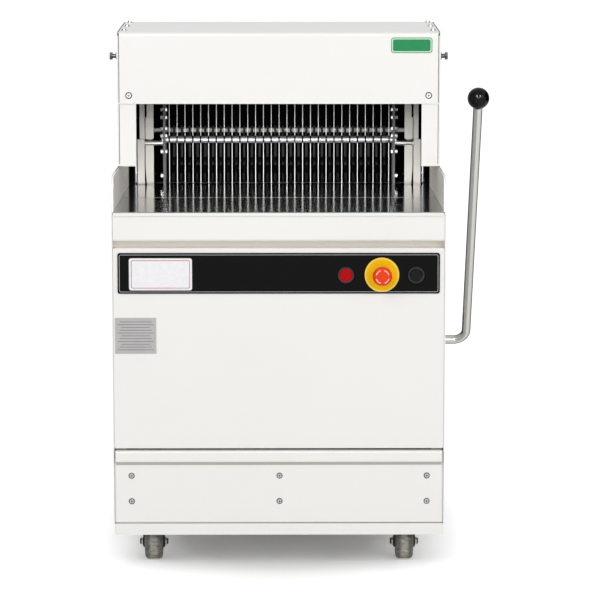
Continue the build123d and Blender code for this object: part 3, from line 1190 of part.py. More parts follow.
bridge_z = WHEEL_DIAMETER + 2.5
bridge_top = bridge_z + CHEEK
raceway_top = CASTER_HEIGHT - CASTER_PLATE[2] - SEAT
cheek_x = WHEEL_WIDTH / 2 + CHEEK_GAP
for row, king_y in zip(("front", "rear"), CASTER_Y):
    for side, king_x in (("left", -CASTER_X), ("right", CASTER_X)):
        axle_y = king_y + CASTER_TRAIL
        with BuildPart() as fork:
            for sign in (-1, 1):
                with BuildSketch(across(king_x + sign * cheek_x)):
                    with Locations((axle_y, wheel_r)):
                        Circle(11.0)
                    with Locations((king_y + 4.0, (bridge_z + bridge_top) / 2)):
                        Rectangle(36.0, CHEEK)
                    make_hull()
                    with Locations((axle_y, wheel_r)):
                        Circle(AXLE_DIAMETER / 2, mode=Mode.SUBTRACT)
                extrude(amount=sign * CHEEK)
            with BuildSketch(level(bridge_z)):
                with Locations((king_x, king_y + 4.0)):
                    Rectangle(2 * (cheek_x + CHEEK), 36.0)
            extrude(amount=CHEEK)
            with BuildSketch(level(bridge_top)):
                with Locations((king_x, king_y)):
                    Circle(RACEWAY_DIAMETER / 2)
            extrude(amount=raceway_top - bridge_top, taper=8)
            with BuildSketch(level(bridge_z)):
                with Locations((king_x, king_y)):
                    Circle(KINGPIN_DIAMETER / 2 + BORE_FIT)
            extrude(amount=raceway_top - bridge_z, mode=Mode.SUBTRACT)
            with BuildSketch(across(king_x)):
                with Locations((axle_y, wheel_r)):
                    Circle(AXLE_DIAMETER / 2)
            extrude(amount=AXLE_SPAN / 2, both=True)
            for sign in (-1, 1):
                with BuildSketch(across(king_x + sign * (cheek_x + CHEEK))):
                    with Locations((axle_y, wheel_r)):
                        RegularPolygon(8.0, 6, major_radius=False)
                extrude(amount=sign * (AXLE_SPAN / 2 - cheek_x - CHEEK - 0.8))
            if row == "rear":
                with BuildSketch(across(king_x)):
                    with BuildLine():
                        Polyline((axle_y + 10.0, bridge_z + 1.0), (axle_y + 44.0, bridge_z - 18.0),
                                 (axle_y + 43.0, bridge_z - 21.0), (axle_y + 4.0, bridge_z - 0.5),
                                 (axle_y - 2.0, bridge_z), (axle_y - 2.0, bridge_z + 1.0), close=True)
                    make_face()
                extrude(amount=12.0, both=True)
        save(fork.part, f"caster_fork_{row}_{side}")

        with BuildPart() as wheel:
            plane = Plane(origin=(CX + king_x, CY + axle_y, wheel_r), x_dir=(1, 0, 0), z_dir=(0, -1, 0))
            half = WHEEL_WIDTH / 2
            bore = AXLE_DIAMETER / 2 + BORE_FIT
            with BuildSketch(plane):
                with BuildLine():
                    shoulder = wheel_r - TREAD_CROWN
                    flat = half - TREAD_CROWN + 2.0
                    Line((-half, bore), (-half, shoulder))
                    RadiusArc((-half, shoulder), (-flat, wheel_r), TREAD_CROWN + 0.8)
                    Line((-flat, wheel_r), (flat, wheel_r))
                    RadiusArc((flat, wheel_r), (half, shoulder), TREAD_CROWN + 0.8)
                    Line((half, shoulder), (half, bore))
                    Line((half, bore), (-half, bore))
                make_face()
            revolve(axis=Axis(plane.origin, (1, 0, 0)))
        save(wheel.part, f"caster_wheel_{row}_{side}")
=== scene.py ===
from math import cos, pi, radians, sin

import bpy
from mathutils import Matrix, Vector


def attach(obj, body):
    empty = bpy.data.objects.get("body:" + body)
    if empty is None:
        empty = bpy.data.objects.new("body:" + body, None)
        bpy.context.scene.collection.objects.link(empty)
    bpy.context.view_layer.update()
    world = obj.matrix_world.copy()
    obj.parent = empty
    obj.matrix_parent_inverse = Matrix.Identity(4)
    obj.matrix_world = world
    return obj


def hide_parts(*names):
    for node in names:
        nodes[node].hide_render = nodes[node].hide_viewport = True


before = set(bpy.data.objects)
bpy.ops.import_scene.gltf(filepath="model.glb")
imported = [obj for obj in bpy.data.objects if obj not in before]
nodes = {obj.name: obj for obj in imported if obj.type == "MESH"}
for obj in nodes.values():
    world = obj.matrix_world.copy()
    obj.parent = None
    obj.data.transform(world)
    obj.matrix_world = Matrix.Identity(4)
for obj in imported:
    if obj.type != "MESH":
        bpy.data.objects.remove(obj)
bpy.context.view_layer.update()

# ---- where things are, in millimetres from the machine's middle, front and floor -----
MID_X, FRONT_Y = -40.5, -379.75
STRIP_Y, STRIP_Z, STRIP_W, STRIP_H = -2.0, 523.0, 559.0, 71.0
CONTROL_Z, ESTOP_X = 520.5, 179.0
LEGEND_Y, HEAD_Y = -3.5, -33.0
HOOD_Y, COLUMN_Y = 193.5, 195.0
ROOF_FRONT_Y, ROOF_FRONT_Z, RIDGE_Y, RIDGE_Z = 195.0, 930.5, 440.0, 940.5
CASTER_X, PLATE_UNDER_Z = 223.0, 75.0
AXLE_ROWS, AXLE_Z, AXLE_HALF = (("front", 78.0), ("rear", 708.0)), 31.0, 20.8
STILE_Y, STILE_OUT_X, STILE_IN_X = 506, 221, 216.5
KNIVES, KNIFE_PITCH, KNIFE_BACK_Y, KNIFE_DEPTH = 29, 15.0, 523.4, 13.0
KNIFE_LOW_Z, KNIFE_TOP_Z = 552.0, 848.0
BAR_Y, BAR_Z, BAR_R = 520.0, 715.0, 6.3
TABLE_Z = 629.0


def at(x, y, z):
    """A point of the machine, in the row frame's metres."""
    return Vector(((x + MID_X) / 1000, (y + FRONT_Y) / 1000, z / 1000))


# ---- finishes ---------------------------------------------------------------------


def finish_nodes(name):
    """A new material's node tree and its surface shader."""
    material = bpy.data.materials.new(name)
    material.use_nodes = True
    tree = material.node_tree
    return material, tree, tree.nodes["Principled BSDF"]


def maths(tree, operation, first, second, clamped=False):
    """A Math node on two values, each a number or the output of another node."""
    node = tree.nodes.new("ShaderNodeMath")
    node.operation = operation
    node.use_clamp = clamped
    for socket, value in zip(node.inputs, (first, second)):
        if isinstance(value, float):
            socket.default_value = value
        else:
            tree.links.new(value, socket)
    return node.outputs["Value"]


def object_noise(tree, scale, detail=3.0, stretch=(1, 1, 1), roughness=0.55):
    """Noise on the piece's own coordinates."""
    place = tree.nodes.new("ShaderNodeTexCoord")
    mapping = tree.nodes.new("ShaderNodeMapping")
    mapping.inputs["Scale"].default_value = stretch
    noise = tree.nodes.new("ShaderNodeTexNoise")
    noise.inputs["Scale"].default_value = scale
    noise.inputs["Detail"].default_value = detail
    noise.inputs["Roughness"].default_value = roughness
    tree.links.new(place.outputs["Object"], mapping.inputs["Vector"])
    tree.links.new(mapping.outputs["Vector"], noise.inputs["Vector"])
    return noise.outputs["Fac"]


def bump_from(tree, shader, height, strength, distance):
    """Fine relief on a finish."""
    bump = tree.nodes.new("ShaderNodeBump")
    bump.inputs["Strength"].default_value = strength
    bump.inputs["Distance"].default_value = distance
    tree.links.new(height, bump.inputs["Height"])
    tree.links.new(bump.outputs["Normal"], shader.inputs["Normal"])


def ramp(tree, value, low, high, start=0.0, end=1.0):
    """Colour ramp between two greys or colours."""
    node = tree.nodes.new("ShaderNodeValToRGB")
    node.color_ramp.elements[0].position = start
    node.color_ramp.elements[1].position = end
    node.color_ramp.elements[0].color = (*low, 1)
    node.color_ramp.elements[1].color = (*high, 1)
    tree.links.new(value, node.inputs["Fac"])
    return node.outputs["Color"]


def grey(value):
    """One value as a neutral colour."""
    return (value, value, value)


def shaded_side_mask(tree, direction, limit, from_y):
    """1 on faces that look in a direction, behind from_y where it is given, and 0 elsewhere."""
    place = tree.nodes.new("ShaderNodeTexCoord")
    facing = tree.nodes.new("ShaderNodeVectorMath")
    facing.operation = "DOT_PRODUCT"
    facing.inputs[1].default_value = direction
    tree.links.new(place.outputs["Normal"], facing.inputs[0])
    inside = maths(tree, "GREATER_THAN", facing.outputs["Value"], limit)
    if from_y is not None:
        split = tree.nodes.new("ShaderNodeSeparateXYZ")
        tree.links.new(place.outputs["Object"], split.inputs[0])
        deep = maths(tree, "GREATER_THAN", split.outputs["Y"], at(0, from_y, 0).y)
        inside = maths(tree, "MULTIPLY", inside, deep)
    return inside


def powder_coat(name, colour, shade_faces=None, from_y=None):
    """Powder-coated sheet; inner faces given by (direction, limit) get near-black painted shade."""
    material, tree, shader = finish_nodes(name)
    tone = object_noise(tree, 3.0, 2.0)
    low = tuple(c * 0.985 for c in colour)
    coat = ramp(tree, tone, low, colour, 0.3, 0.7)
    shader.inputs["Roughness"].default_value = 0.42
    shader.inputs["Specular IOR Level"].default_value = SHEET_GLOSS
    # inner faces: near-black and less glossy, painted shade inside the housing
    if shade_faces:
        inside = shaded_side_mask(tree, *shade_faces, from_y)
        mix = tree.nodes.new("ShaderNodeMix")
        mix.data_type = "RGBA"
        mix.inputs["B"].default_value = (*INSIDE_SHADE_COLOUR, 1)
        tree.links.new(inside, mix.inputs["Factor"])
        tree.links.new(coat, mix.inputs["A"])
        coat = mix.outputs["Result"]
        gloss = tree.nodes.new("ShaderNodeMapRange")
        gloss.inputs["To Min"].default_value = SHEET_GLOSS
        gloss.inputs["To Max"].default_value = INSIDE_SHADE_GLOSS
        tree.links.new(inside, gloss.inputs["Value"])
        tree.links.new(gloss.outputs["Result"], shader.inputs["Specular IOR Level"])
    tree.links.new(coat, shader.inputs["Base Color"])
    bump_from(tree, shader, object_noise(tree, 900.0, 2.0), 0.06, 0.0004)
    return material


def steel(name, colour, roughness, grain=(1, 1, 1), scale=60.0, spread=0.06, metallic=1.0,
          rim=None):
    """Bare or plated steel; grain stretches the finish, rim paints a dark reflection at its edges.
    """
    material, tree, shader = finish_nodes(name)
    noise = object_noise(tree, scale, 4.0, grain, 0.6)
    smooth, rough = max(0.0, roughness - spread), roughness + spread
    tree.links.new(ramp(tree, noise, grey(smooth), grey(rough), 0.25, 0.75),
                   shader.inputs["Roughness"])
    if rim:
        # rim: colour and edge tint darken towards the edges, a painted dark reflection
        edge = tree.nodes.new("ShaderNodeLayerWeight")
        edge.inputs["Blend"].default_value = 0.5
        tone = ramp(tree, edge.outputs["Facing"], colour, rim, 0.35, 0.85)
        shader.inputs["Specular Tint"].default_value = (*EDGE_REFLECTION_TINT, 1)
    else:
        low = tuple(c * 0.92 for c in colour)
        tone = ramp(tree, noise, low, colour, 0.2, 0.8)
    tree.links.new(tone, shader.inputs["Base Color"])
    shader.inputs["Metallic"].default_value = metallic
    bump_from(tree, shader, noise, 0.05, 0.0002)
    return material


def plastic(name, colour, roughness, gloss=0.5):
    """Moulded, painted or printed surface."""
    material, tree, shader = finish_nodes(name)
    shader.inputs["Specular IOR Level"].default_value = gloss
    noise = object_noise(tree, 120.0, 2.0)
    low = tuple(c * 0.93 for c in colour)
    tree.links.new(ramp(tree, noise, low, colour, 0.3, 0.7), shader.inputs["Base Color"])
    shader.inputs["Roughness"].default_value = roughness
    bump_from(tree, shader, object_noise(tree, 1500.0, 1.0), 0.03, 0.0001)
    return material


# the inside colour and gloss are painted shade on the housing's inner faces
WHITE, INSIDE_SHADE_COLOUR, EDGE_REFLECTION_TINT = (0.862, 0.846, 0.816), grey(0.004), grey(0.05)
SHEET_GLOSS, INSIDE_SHADE_GLOSS = 0.35, 0.02
white_coat = powder_coat("white powder coat", WHITE)
# the cross members seen in the groove under the apron: their white darkened to taupe as painted
# shade
apron_groove_shade_coat = powder_coat("white coat with painted apron groove shade", (0.93, 0.87, 0.78))
lip_shadow_coat = powder_coat("painted lip shadow coat", (0.50, 0.48, 0.42))
# white sheets whose inner faces are painted near-black as the shade inside the housing
shaded_lid = powder_coat("white lid, painted shade inside", WHITE, ((0, -0.7071, -0.7071), 0.2))
shaded_roof = powder_coat("white roof, painted shade inside", WHITE, ((0, 0, -1), 0.3))
shaded_left = powder_coat("white left side, painted shade inside", WHITE, ((1, 0, 0), 0.7), 100.0)
shaded_right = powder_coat("white right side, painted shade inside", WHITE, ((-1, 0, 0), 0.7), 100.0)
shaded_back = powder_coat("white back, painted shade inside", WHITE, ((0, -1, 0), 0.7))
table_steel = steel("polished table steel", grey(0.50), 0.13, (2, 60, 2), 30.0, 0.04)
guard_steel = steel("brushed guard steel", (0.94, 0.91, 0.86), 0.50, (60, 2, 60), 12.0, 0.06, 0.75)
guide_steel = steel("satin guide steel", (0.40, 0.39, 0.365), 0.42, (1, 1, 8), 40.0)
zinc = steel("zinc-plated steel", grey(0.42), 0.34, scale=80.0)
frame_steel = steel("knife frame steel", grey(0.085), 0.42, scale=70.0)
fork_steel = steel("dark caster steel", grey(0.022), 0.40, scale=70.0, metallic=0.4)
dull_steel = steel("dull carriage steel", (0.36, 0.36, 0.35), 0.45)
bar_steel = steel("turned bar steel", grey(0.97), 0.32, (1, 40, 40), 30.0, 0.06, 0.40)
blade_steel = steel("ground blade steel", grey(0.50), 0.36, (1, 1, 60), 12.0)
# chrome with its edges painted dark, as the dark reflection they would show
chrome = steel("bright chrome", (0.50, 0.495, 0.47), 0.07, scale=90.0, spread=0.02,
               rim=(0.06, 0.058, 0.05))
bolt_steel = steel("bright bolt steel", grey(0.82), 0.20, scale=200.0)
joint_highlight = plastic("painted joint highlight", grey(0.55), 0.5)
screw_steel = steel("screw steel", grey(0.50), 0.28, scale=300.0)
recess_shade_paint = plastic("painted recess shade for screws", grey(0.03), 0.6)
strip_black = plastic("gloss black panel", grey(0.003), 0.25, 0.06)
knob_black = plastic("gloss black knob", grey(0.003), 0.07, 0.14)
moulded_black = plastic("moulded black", grey(0.010), 0.45, 0.25)
button_red = plastic("red push button", (0.44, 0.001, 0.004), 0.14, 0.07)
estop_red = plastic("orange-red mushroom", (0.86, 0.050, 0.004), 0.32, 0.12)
estop_arc = plastic("pale turning marks", (0.90, 0.52, 0.42), 0.4)
legend_yellow = plastic("yellow legend", (1.0, 0.55, 0.003), 0.45, 0.04)
legend_rim = plastic("pale yellow rim", (0.95, 0.76, 0.16), 0.45, 0.06)
plate_white = plastic("white label", (0.86, 0.85, 0.87), 0.35)
line_red = plastic("red printed line", (0.52, 0.02, 0.03), 0.35)
badge_green = plastic("green badge", (0.018, 0.28, 0.095), 0.30, 0.10)
badge_pale = plastic("pale badge plate", (0.62, 0.80, 0.66), 0.35, 0.1)
line_grey = plastic("grey printed line", grey(0.46), 0.4)
line_dark = plastic("dark printed line", grey(0.10), 0.4)
seam_shadow = plastic("painted seam shadow", grey(0.16), 0.8, 0.0)
# black for the lid's seal strip, and the painted shade in the guide bar's grooves
seal_and_groove_shade_black = plastic("black seal and painted groove shade", grey(0.006), 0.9, 0.0)
foil = steel("foil rating plate", (0.33, 0.32, 0.32), 0.45, scale=40.0, spread=0.05, metallic=0.35)
motor_paint = powder_coat("motor paint", (0.10, 0.13, 0.17))
cast_iron = steel("machined casting", grey(0.22), 0.5)
belt_rubber = plastic("belt rubber", grey(0.02), 0.7)
box_grey = plastic("grey box plastic", grey(0.55), 0.45)

TREAD_EDGE = (0.004, 0.009)


def tread_finish():
    """Grey-green caster rubber, paler along the middle of the tread and darker towards its edges.
    """
    material, tree, shader = finish_nodes("caster rubber")
    place = tree.nodes.new("ShaderNodeTexCoord")
    split = tree.nodes.new("ShaderNodeSeparateXYZ")
    tree.links.new(place.outputs["Object"], split.inputs[0])
    from_tread = split.outputs["X"]
    for middle in (MID_X, CASTER_X):
        beside = maths(tree, "SUBTRACT", from_tread, middle / 1000)
        from_tread = maths(tree, "ABSOLUTE", beside, 0.0)
    edge = tree.nodes.new("ShaderNodeMapRange")
    edge.inputs["From Min"].default_value, edge.inputs["From Max"].default_value = TREAD_EDGE
    tree.links.new(from_tread, edge.inputs["Value"])
    paler_middle = ramp(tree, edge.outputs["Result"], (0.50, 0.48, 0.40), (0.165, 0.158, 0.132))
    worn = ramp(tree, object_noise(tree, 90.0, 4.0, (1, 1, 2.5)), grey(0.45), grey(1.0), 0.35, 0.65)
    mottle = tree.nodes.new("ShaderNodeMix")
    mottle.data_type = "RGBA"
    mottle.blend_type = "MULTIPLY"
    mottle.inputs["Factor"].default_value = 1.0
    tree.links.new(paler_middle, mottle.inputs["A"])
    tree.links.new(worn, mottle.inputs["B"])
    tree.links.new(mottle.outputs["Result"], shader.inputs["Base Color"])
    shader.inputs["Roughness"].default_value = 0.5
    bump_from(tree, shader, object_noise(tree, 250.0, 3.0), 0.15, 0.0005)
    return material


caster_rubber = tread_finish()

FINISHES = {
    white_coat: "base_frame front_apron front_panel plinth_panel",
    apron_groove_shade_coat: "cross_members",
    shaded_lid: "infeed_lid",
    shaded_roof: "hood_cover rear_roof",
    shaded_left: "side_panel_left",
    shaded_right: "side_panel_right",
    shaded_back: "rear_panel",
    table_steel: "outfeed_table knife_table infeed_table",
    guard_steel: "table_guards crumb_tray",
    guide_steel: "knife_guides",
    zinc: "chassis_plates tray_runners caster_plates rocker_arms",
    frame_steel: "side_bolts front_knife_frame rear_knife_frame front_knife_clamps"
                 " rear_knife_clamps",
    fork_steel: "caster_fork_front_left caster_fork_front_right caster_fork_rear_left"
                " caster_fork_rear_right",
    dull_steel: "pusher_carriage",
    bar_steel: "guide_bar guide_rods",
    blade_steel: "front_knives rear_knives",
    chrome: "lever_rod cross_shaft lid_handle crank_shaft",
    strip_black: "control_strip",
    knob_black: "ball_knob start_button",
    moulded_black: "pusher_fingers cable_gland control_bodies",
    button_red: "stop_button",
    estop_red: "estop_head",
    legend_yellow: "estop_legend",
    motor_paint: "motor",
    cast_iron: "shaft_bearings crank_pulley motor_pulley front_connecting_rods"
               " rear_connecting_rods",
    belt_rubber: "drive_belt",
    box_grey: "electrical_box",
    caster_rubber: "caster_wheel_front_left caster_wheel_front_right caster_wheel_rear_left"
                   " caster_wheel_rear_right",
}
for material, names in FINISHES.items():
    for name in names.split():
        mesh = nodes[name].data
        mesh.materials.clear()
        mesh.materials.append(material)

# ---- making pieces ----------------------------------------------------------------


def piece(name, vertices, faces, material, body):
    """A closed mesh piece with its place in its vertices, riding on a body."""
    mesh = bpy.data.meshes.new(name)
    mesh.from_pydata([tuple(v) for v in vertices], [], faces)
    mesh.materials.append(material)
    mesh.validate()
    made = bpy.data.objects.new(name.replace(" ", "_"), mesh)
    bpy.context.scene.collection.objects.link(made)
    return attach(made, body)


def rounded_outline(width, height, radius, steps=6):
    """Corners of a rounded rectangle about its middle, anticlockwise."""
    points = []
    for quarter, (sx, sz) in enumerate(((1, 1), (-1, 1), (-1, -1), (1, -1))):
        for step in range(steps + 1):
            angle = (quarter + step / steps) * pi / 2
            points.append((sx * (width / 2 - radius) + radius * cos(angle),
                           sz * (height / 2 - radius) + radius * sin(angle)))
    return points


def ring_points(radius, start, end, steps):
    """Points on an arc about the origin, angles in degrees."""
    return [(radius * cos(radians(start + (end - start) * i / steps)),
             radius * sin(radians(start + (end - start) * i / steps))) for i in range(steps + 1)]


def front_plate(name, outline, x, z, y, thickness, material, body="cabinet"):
    """A thin plate on an upright face at y, standing proud towards the user."""
    count = len(outline)
    vertices = [at(x + px, y, z + pz) for px, pz in outline]
    vertices += [at(x + px, y - thickness, z + pz) for px, pz in outline]
    faces = [tuple(range(count)), tuple(reversed(range(count, 2 * count)))]
    faces += [(i, i + count, (i + 1) % count + count, (i + 1) % count) for i in range(count)]
    faces = [tuple(reversed(face)) for face in faces]
    return piece(name, vertices, faces, material, body)


def front_band(name, outer, inner, x, z, y, thickness, material, body="cabinet"):
    """A thin closed band between two outlines of equal count, on an upright face."""
    count = len(outer)
    rings = [(outer, y), (inner, y), (inner, y - thickness), (outer, y - thickness)]
    vertices = [at(x + px, depth, z + pz) for ring, depth in rings for px, pz in ring]
    faces = []
    for ring in range(4):
        a, b = ring * count, (ring + 1) % 4 * count
        faces += [(a + i, a + (i + 1) % count, b + (i + 1) % count, b + i) for i in range(count)]
    return piece(name, vertices, faces, material, body)


def strip(name, across, deep, high, material, body="cabinet"):
    """A plain straight strip, given by its spans in x, y and z in the machine's millimetres."""
    corners = [at(x, y, z) for x in across for y in deep for z in high]
    faces = [(0, 1, 3, 2), (4, 6, 7, 5), (0, 4, 5, 1), (2, 3, 7, 6), (0, 2, 6, 4), (1, 5, 7, 3)]
    return piece(name, corners, faces, material, body)


def new_tree(name, sizes):
    """An empty Geometry Nodes tree with a geometry input and named sizes."""
    tree = bpy.data.node_groups.new(name, "GeometryNodeTree")
    new_socket = tree.interface.new_socket
    new_socket("Geometry", in_out="INPUT", socket_type="NodeSocketGeometry")
    for label, value in sizes.items():
        size = new_socket(label, in_out="INPUT", socket_type="NodeSocketFloat")
        size.default_value = value
    new_socket("Geometry", in_out="OUTPUT", socket_type="NodeSocketGeometry")
    return tree, tree.nodes.new("NodeGroupInput"), tree.nodes.new("NodeGroupOutput")


def painted(tree, geometry, material):
    """Sets the finish of the shape that comes out of a node."""
    paint = tree.nodes.new("GeometryNodeSetMaterial")
    paint.inputs["Material"].default_value = material
    tree.links.new(geometry, paint.inputs["Geometry"])
    return paint.outputs["Geometry"]


def realized(tree, points, shape, turn=None):
    """Puts a shape on points, as one plain mesh."""
    place = tree.nodes.new("GeometryNodeInstanceOnPoints")
    tree.links.new(points, place.inputs["Points"])
    tree.links.new(shape, place.inputs["Instance"])
    if turn:
        tree.links.new(turn, place.inputs["Rotation"])
    whole = tree.nodes.new("GeometryNodeRealizeInstances")
    tree.links.new(place.outputs["Instances"], whole.inputs["Geometry"])
    return whole.outputs["Geometry"]


def fastener_tree(name, sizes, sides, head_material, recess_shade_finish=None):
    """Heads on points, each along the point's own axis; cross-heads sit on a painted shadow disc.
    """
    tree, given, result = new_tree(name, sizes)
    link = tree.links.new
    head = tree.nodes.new("GeometryNodeMeshCone")
    head.inputs["Vertices"].default_value = sides
    link(given.outputs["Head radius"], head.inputs["Radius Bottom"])
    link(given.outputs["Crown radius"], head.inputs["Radius Top"])
    link(given.outputs["Head height"], head.inputs["Depth"])
    shape = painted(tree, head.outputs["Mesh"], head_material)
    if recess_shade_finish:
        join = tree.nodes.new("GeometryNodeJoinGeometry")
        link(shape, join.inputs["Geometry"])
        # a dark disc under the head: painted shadow of its seat
        seat = tree.nodes.new("GeometryNodeMeshCone")
        seat.inputs["Vertices"].default_value = sides
        seat.inputs["Depth"].default_value = THIN
        link(given.outputs["Seat radius"], seat.inputs["Radius Bottom"])
        link(given.outputs["Seat radius"], seat.inputs["Radius Top"])
        link(painted(tree, seat.outputs["Mesh"], recess_shade_finish), join.inputs["Geometry"])
        # the cross recess as two dark bars on the head: painted shade
        for along, across in (("Y", "X"), ("X", "Y")):
            size = tree.nodes.new("ShaderNodeCombineXYZ")
            link(given.outputs["Recess length"], size.inputs[along])
            link(given.outputs["Recess width"], size.inputs[across])
            size.inputs["Z"].default_value = THIN
            bar = tree.nodes.new("GeometryNodeMeshCube")
            link(size.outputs["Vector"], bar.inputs["Size"])
            lift = tree.nodes.new("GeometryNodeTransform")
            link(bar.outputs["Mesh"], lift.inputs["Geometry"])
            up = tree.nodes.new("ShaderNodeCombineXYZ")
            link(given.outputs["Head height"], up.inputs["Z"])
            link(up.outputs["Vector"], lift.inputs["Translation"])
            link(painted(tree, lift.outputs["Geometry"], recess_shade_finish), join.inputs["Geometry"])
        shape = join.outputs["Geometry"]
    axis = tree.nodes.new("GeometryNodeInputNamedAttribute")
    axis.data_type = "FLOAT_VECTOR"
    axis.inputs["Name"].default_value = "axis"
    turn = tree.nodes.new("FunctionNodeAlignRotationToVector")
    turn.axis = "Z"
    link(axis.outputs["Attribute"], turn.inputs["Vector"])
    link(realized(tree, given.outputs["Geometry"], shape, turn.outputs["Rotation"]),
         result.inputs["Geometry"])
    return tree


def grown(name, points, tree, sizes, body):
    """Runs a tree on points = [(place, axis), ...] and keeps the plain mesh it makes."""
    mesh = bpy.data.meshes.new(name + " points")
    mesh.from_pydata([tuple(p) for p, _ in points], [], [])
    axes = mesh.attributes.new("axis", "FLOAT_VECTOR", "POINT")
    for i, (_, direction) in enumerate(points):
        axes.data[i].vector = direction
    seed = bpy.data.objects.new(name + " points", mesh)
    bpy.context.scene.collection.objects.link(seed)
    modifier = seed.modifiers.new("grow", "NODES")
    modifier.node_group = tree
    for item in tree.interface.items_tree:
        if item.in_out == "INPUT" and item.name in sizes:
            modifier[item.identifier] = sizes[item.name]
    graph = bpy.context.evaluated_depsgraph_get()
    graph.update()
    made_mesh = bpy.data.meshes.new_from_object(seed.evaluated_get(graph))
    made_mesh.name = name
    bpy.data.objects.remove(seed)
    made = bpy.data.objects.new(name.replace(" ", "_"), made_mesh)
    bpy.context.scene.collection.objects.link(made)
    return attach(made, body)


# ---- screws and bolts ---------------------------------------------------------------
THIN = 0.0003
TO_USER = (0, -1, 0)
cross_sizes = {"Head radius": 0.0043, "Crown radius": 0.0034, "Head height": 0.0018,
               "Recess length": 0.0050, "Recess width": 0.0012, "Seat radius": 0.0054}
cross_head = fastener_tree("cross-head screw", cross_sizes, 20, screw_steel, recess_shade_paint)
hex_sizes = {"Head radius": 0.0050, "Crown radius": 0.0046, "Head height": 0.0035}
hex_head = fastener_tree("hexagon bolt", hex_sizes, 6, bolt_steel)
washer_sizes = {"Head radius": 0.0085, "Crown radius": 0.0080, "Head height": 0.0010}
axle_washer = fastener_tree("washer", washer_sizes, 24, bolt_steel)
nut_sizes = {"Head radius": 0.0062, "Crown radius": 0.0050, "Head height": 0.0034}
axle_nut = fastener_tree("axle nut", nut_sizes, 6, fork_steel)
plate_bolt_sizes = {"Head radius": 0.0062, "Crown radius": 0.0058, "Head height": 0.0040}
hood_sizes = {**cross_sizes, "Head radius": 0.0050, "Crown radius": 0.0040, "Seat radius": 0.0062}

PLINTH_SCREW_X, PLINTH_SCREW_Z = (-258, 1, 259), (165.6, 120.2)
plinth_spots = [(at(x, 0, z), TO_USER) for x in PLINTH_SCREW_X for z in PLINTH_SCREW_Z]
grown("plinth screws", plinth_spots, cross_head, cross_sizes, "cabinet")

HOOD_SCREW_X, HOOD_SCREW_Z = (-268.5, 268.5), 819
front_spots = [(at(x, HOOD_Y, HOOD_SCREW_Z), TO_USER) for x in HOOD_SCREW_X]
grown("hood front screws", front_spots, cross_head, hood_sizes, "cabinet")

ROOF_SLOPE, ROOF_THICK = (RIDGE_Z - ROOF_FRONT_Z) / (RIDGE_Y - ROOF_FRONT_Y), 1.5
ROOF_SCREW_X, ROOF_SCREW_Y = (-278, 278), (234, 330, 426)
roof_up = (0, -ROOF_SLOPE, 1)
roof_spots = [(at(x, y, ROOF_FRONT_Z + (y - ROOF_FRONT_Y) * ROOF_SLOPE + ROOF_THICK), roof_up)
              for x in ROOF_SCREW_X for y in ROOF_SCREW_Y]
roof_head = fastener_tree("roof screw", cross_sizes, 20, dull_steel, recess_shade_paint)
grown("hood top screws", roof_spots, roof_head, {**cross_sizes, "Head height": 0.0028}, "cabinet")

# bolts on the outer faces of the front frame's stiles, their nuts inside; the lowest has no room
STILE_NUT_Z = (773, 758, 737, 723, 693)
STILE_BOLT_Z = (*STILE_NUT_Z, 647)
stile_spots = [(at(side * STILE_OUT_X, STILE_Y, z), (side, 0, 0))
               for side in (-1, 1) for z in STILE_BOLT_Z]
grown("frame stile bolts", stile_spots, hex_head, {**hex_sizes, "Head height": 0.0050},
      "front_frame")
nut_spots = [(at(side * STILE_IN_X, STILE_Y, z), (-side, 0, 0))
             for side in (-1, 1) for z in STILE_NUT_Z]
grown("frame stile nuts", nut_spots, hex_head, {**hex_sizes, "Head height": 0.0030}, "front_frame")

PLATE_Y, PLATE_BOLT_X, PLATE_BOLT_Y = (60, 690), (-35, 35), (-25, 25)
plate_spots = [(at(x + dx, y + dy, PLATE_UNDER_Z), (0, 0, -1))
               for x in (-CASTER_X, CASTER_X) for y in PLATE_Y
               for dx in PLATE_BOLT_X for dy in PLATE_BOLT_Y]
grown("caster plate bolts", plate_spots, hex_head, plate_bolt_sizes, "cabinet")

for row, y in AXLE_ROWS:
    for side, x in (("left", -CASTER_X), ("right", CASTER_X)):
        body = f"swivel_{row}_{side}"
        ends = [(at(x + way * AXLE_HALF, y, AXLE_Z), (way, 0, 0)) for way in (-1, 1)]
        grown(f"axle washers {row} {side}", ends, axle_washer, washer_sizes, body)
        nuts = [(place + Vector(axis) * washer_sizes["Head height"], axis) for place, axis in ends]
        grown(f"axle nuts {row} {side}", nuts, axle_nut, nut_sizes, body)

# ---- knives with scalloped edges -------------------------------------------------------
TOOTH, TOOTH_DEPTH, STEPS = 8.0, 1.4, 4
BLADE_HALF, EDGE_HALF, BEVEL = 0.5, 0.06, 3.2


def scalloped_blade():
    """One blade standing on the origin, its back at y 0 and its scalloped edge at the rear."""
    rows = int((KNIFE_TOP_Z - KNIFE_LOW_Z) / TOOTH * STEPS)
    shoulder = KNIFE_DEPTH - BEVEL
    section = [(-BLADE_HALF, 0.0), (BLADE_HALF, 0.0), (BLADE_HALF, shoulder), (EDGE_HALF, None),
               (-EDGE_HALF, None), (-BLADE_HALF, shoulder)]
    vertices, faces = [], []
    for row in range(rows + 1):
        hollow = TOOTH_DEPTH * abs(sin(pi * row / STEPS))
        for x, y in section:
            depth = KNIFE_DEPTH - hollow if y is None else y
            vertices.append((x / 1000, depth / 1000, row * TOOTH / STEPS / 1000))
    count = len(section)
    for row in range(rows):
        a, b = row * count, (row + 1) * count
        faces += [(a + i, a + (i + 1) % count, b + (i + 1) % count, b + i) for i in range(count)]
    faces.append(tuple(reversed(range(count))))
    faces.append(tuple(rows * count + i for i in range(count)))
    mesh = bpy.data.meshes.new("blade")
    mesh.from_pydata(vertices, [], faces)
    return bpy.data.objects.new("blade", mesh)


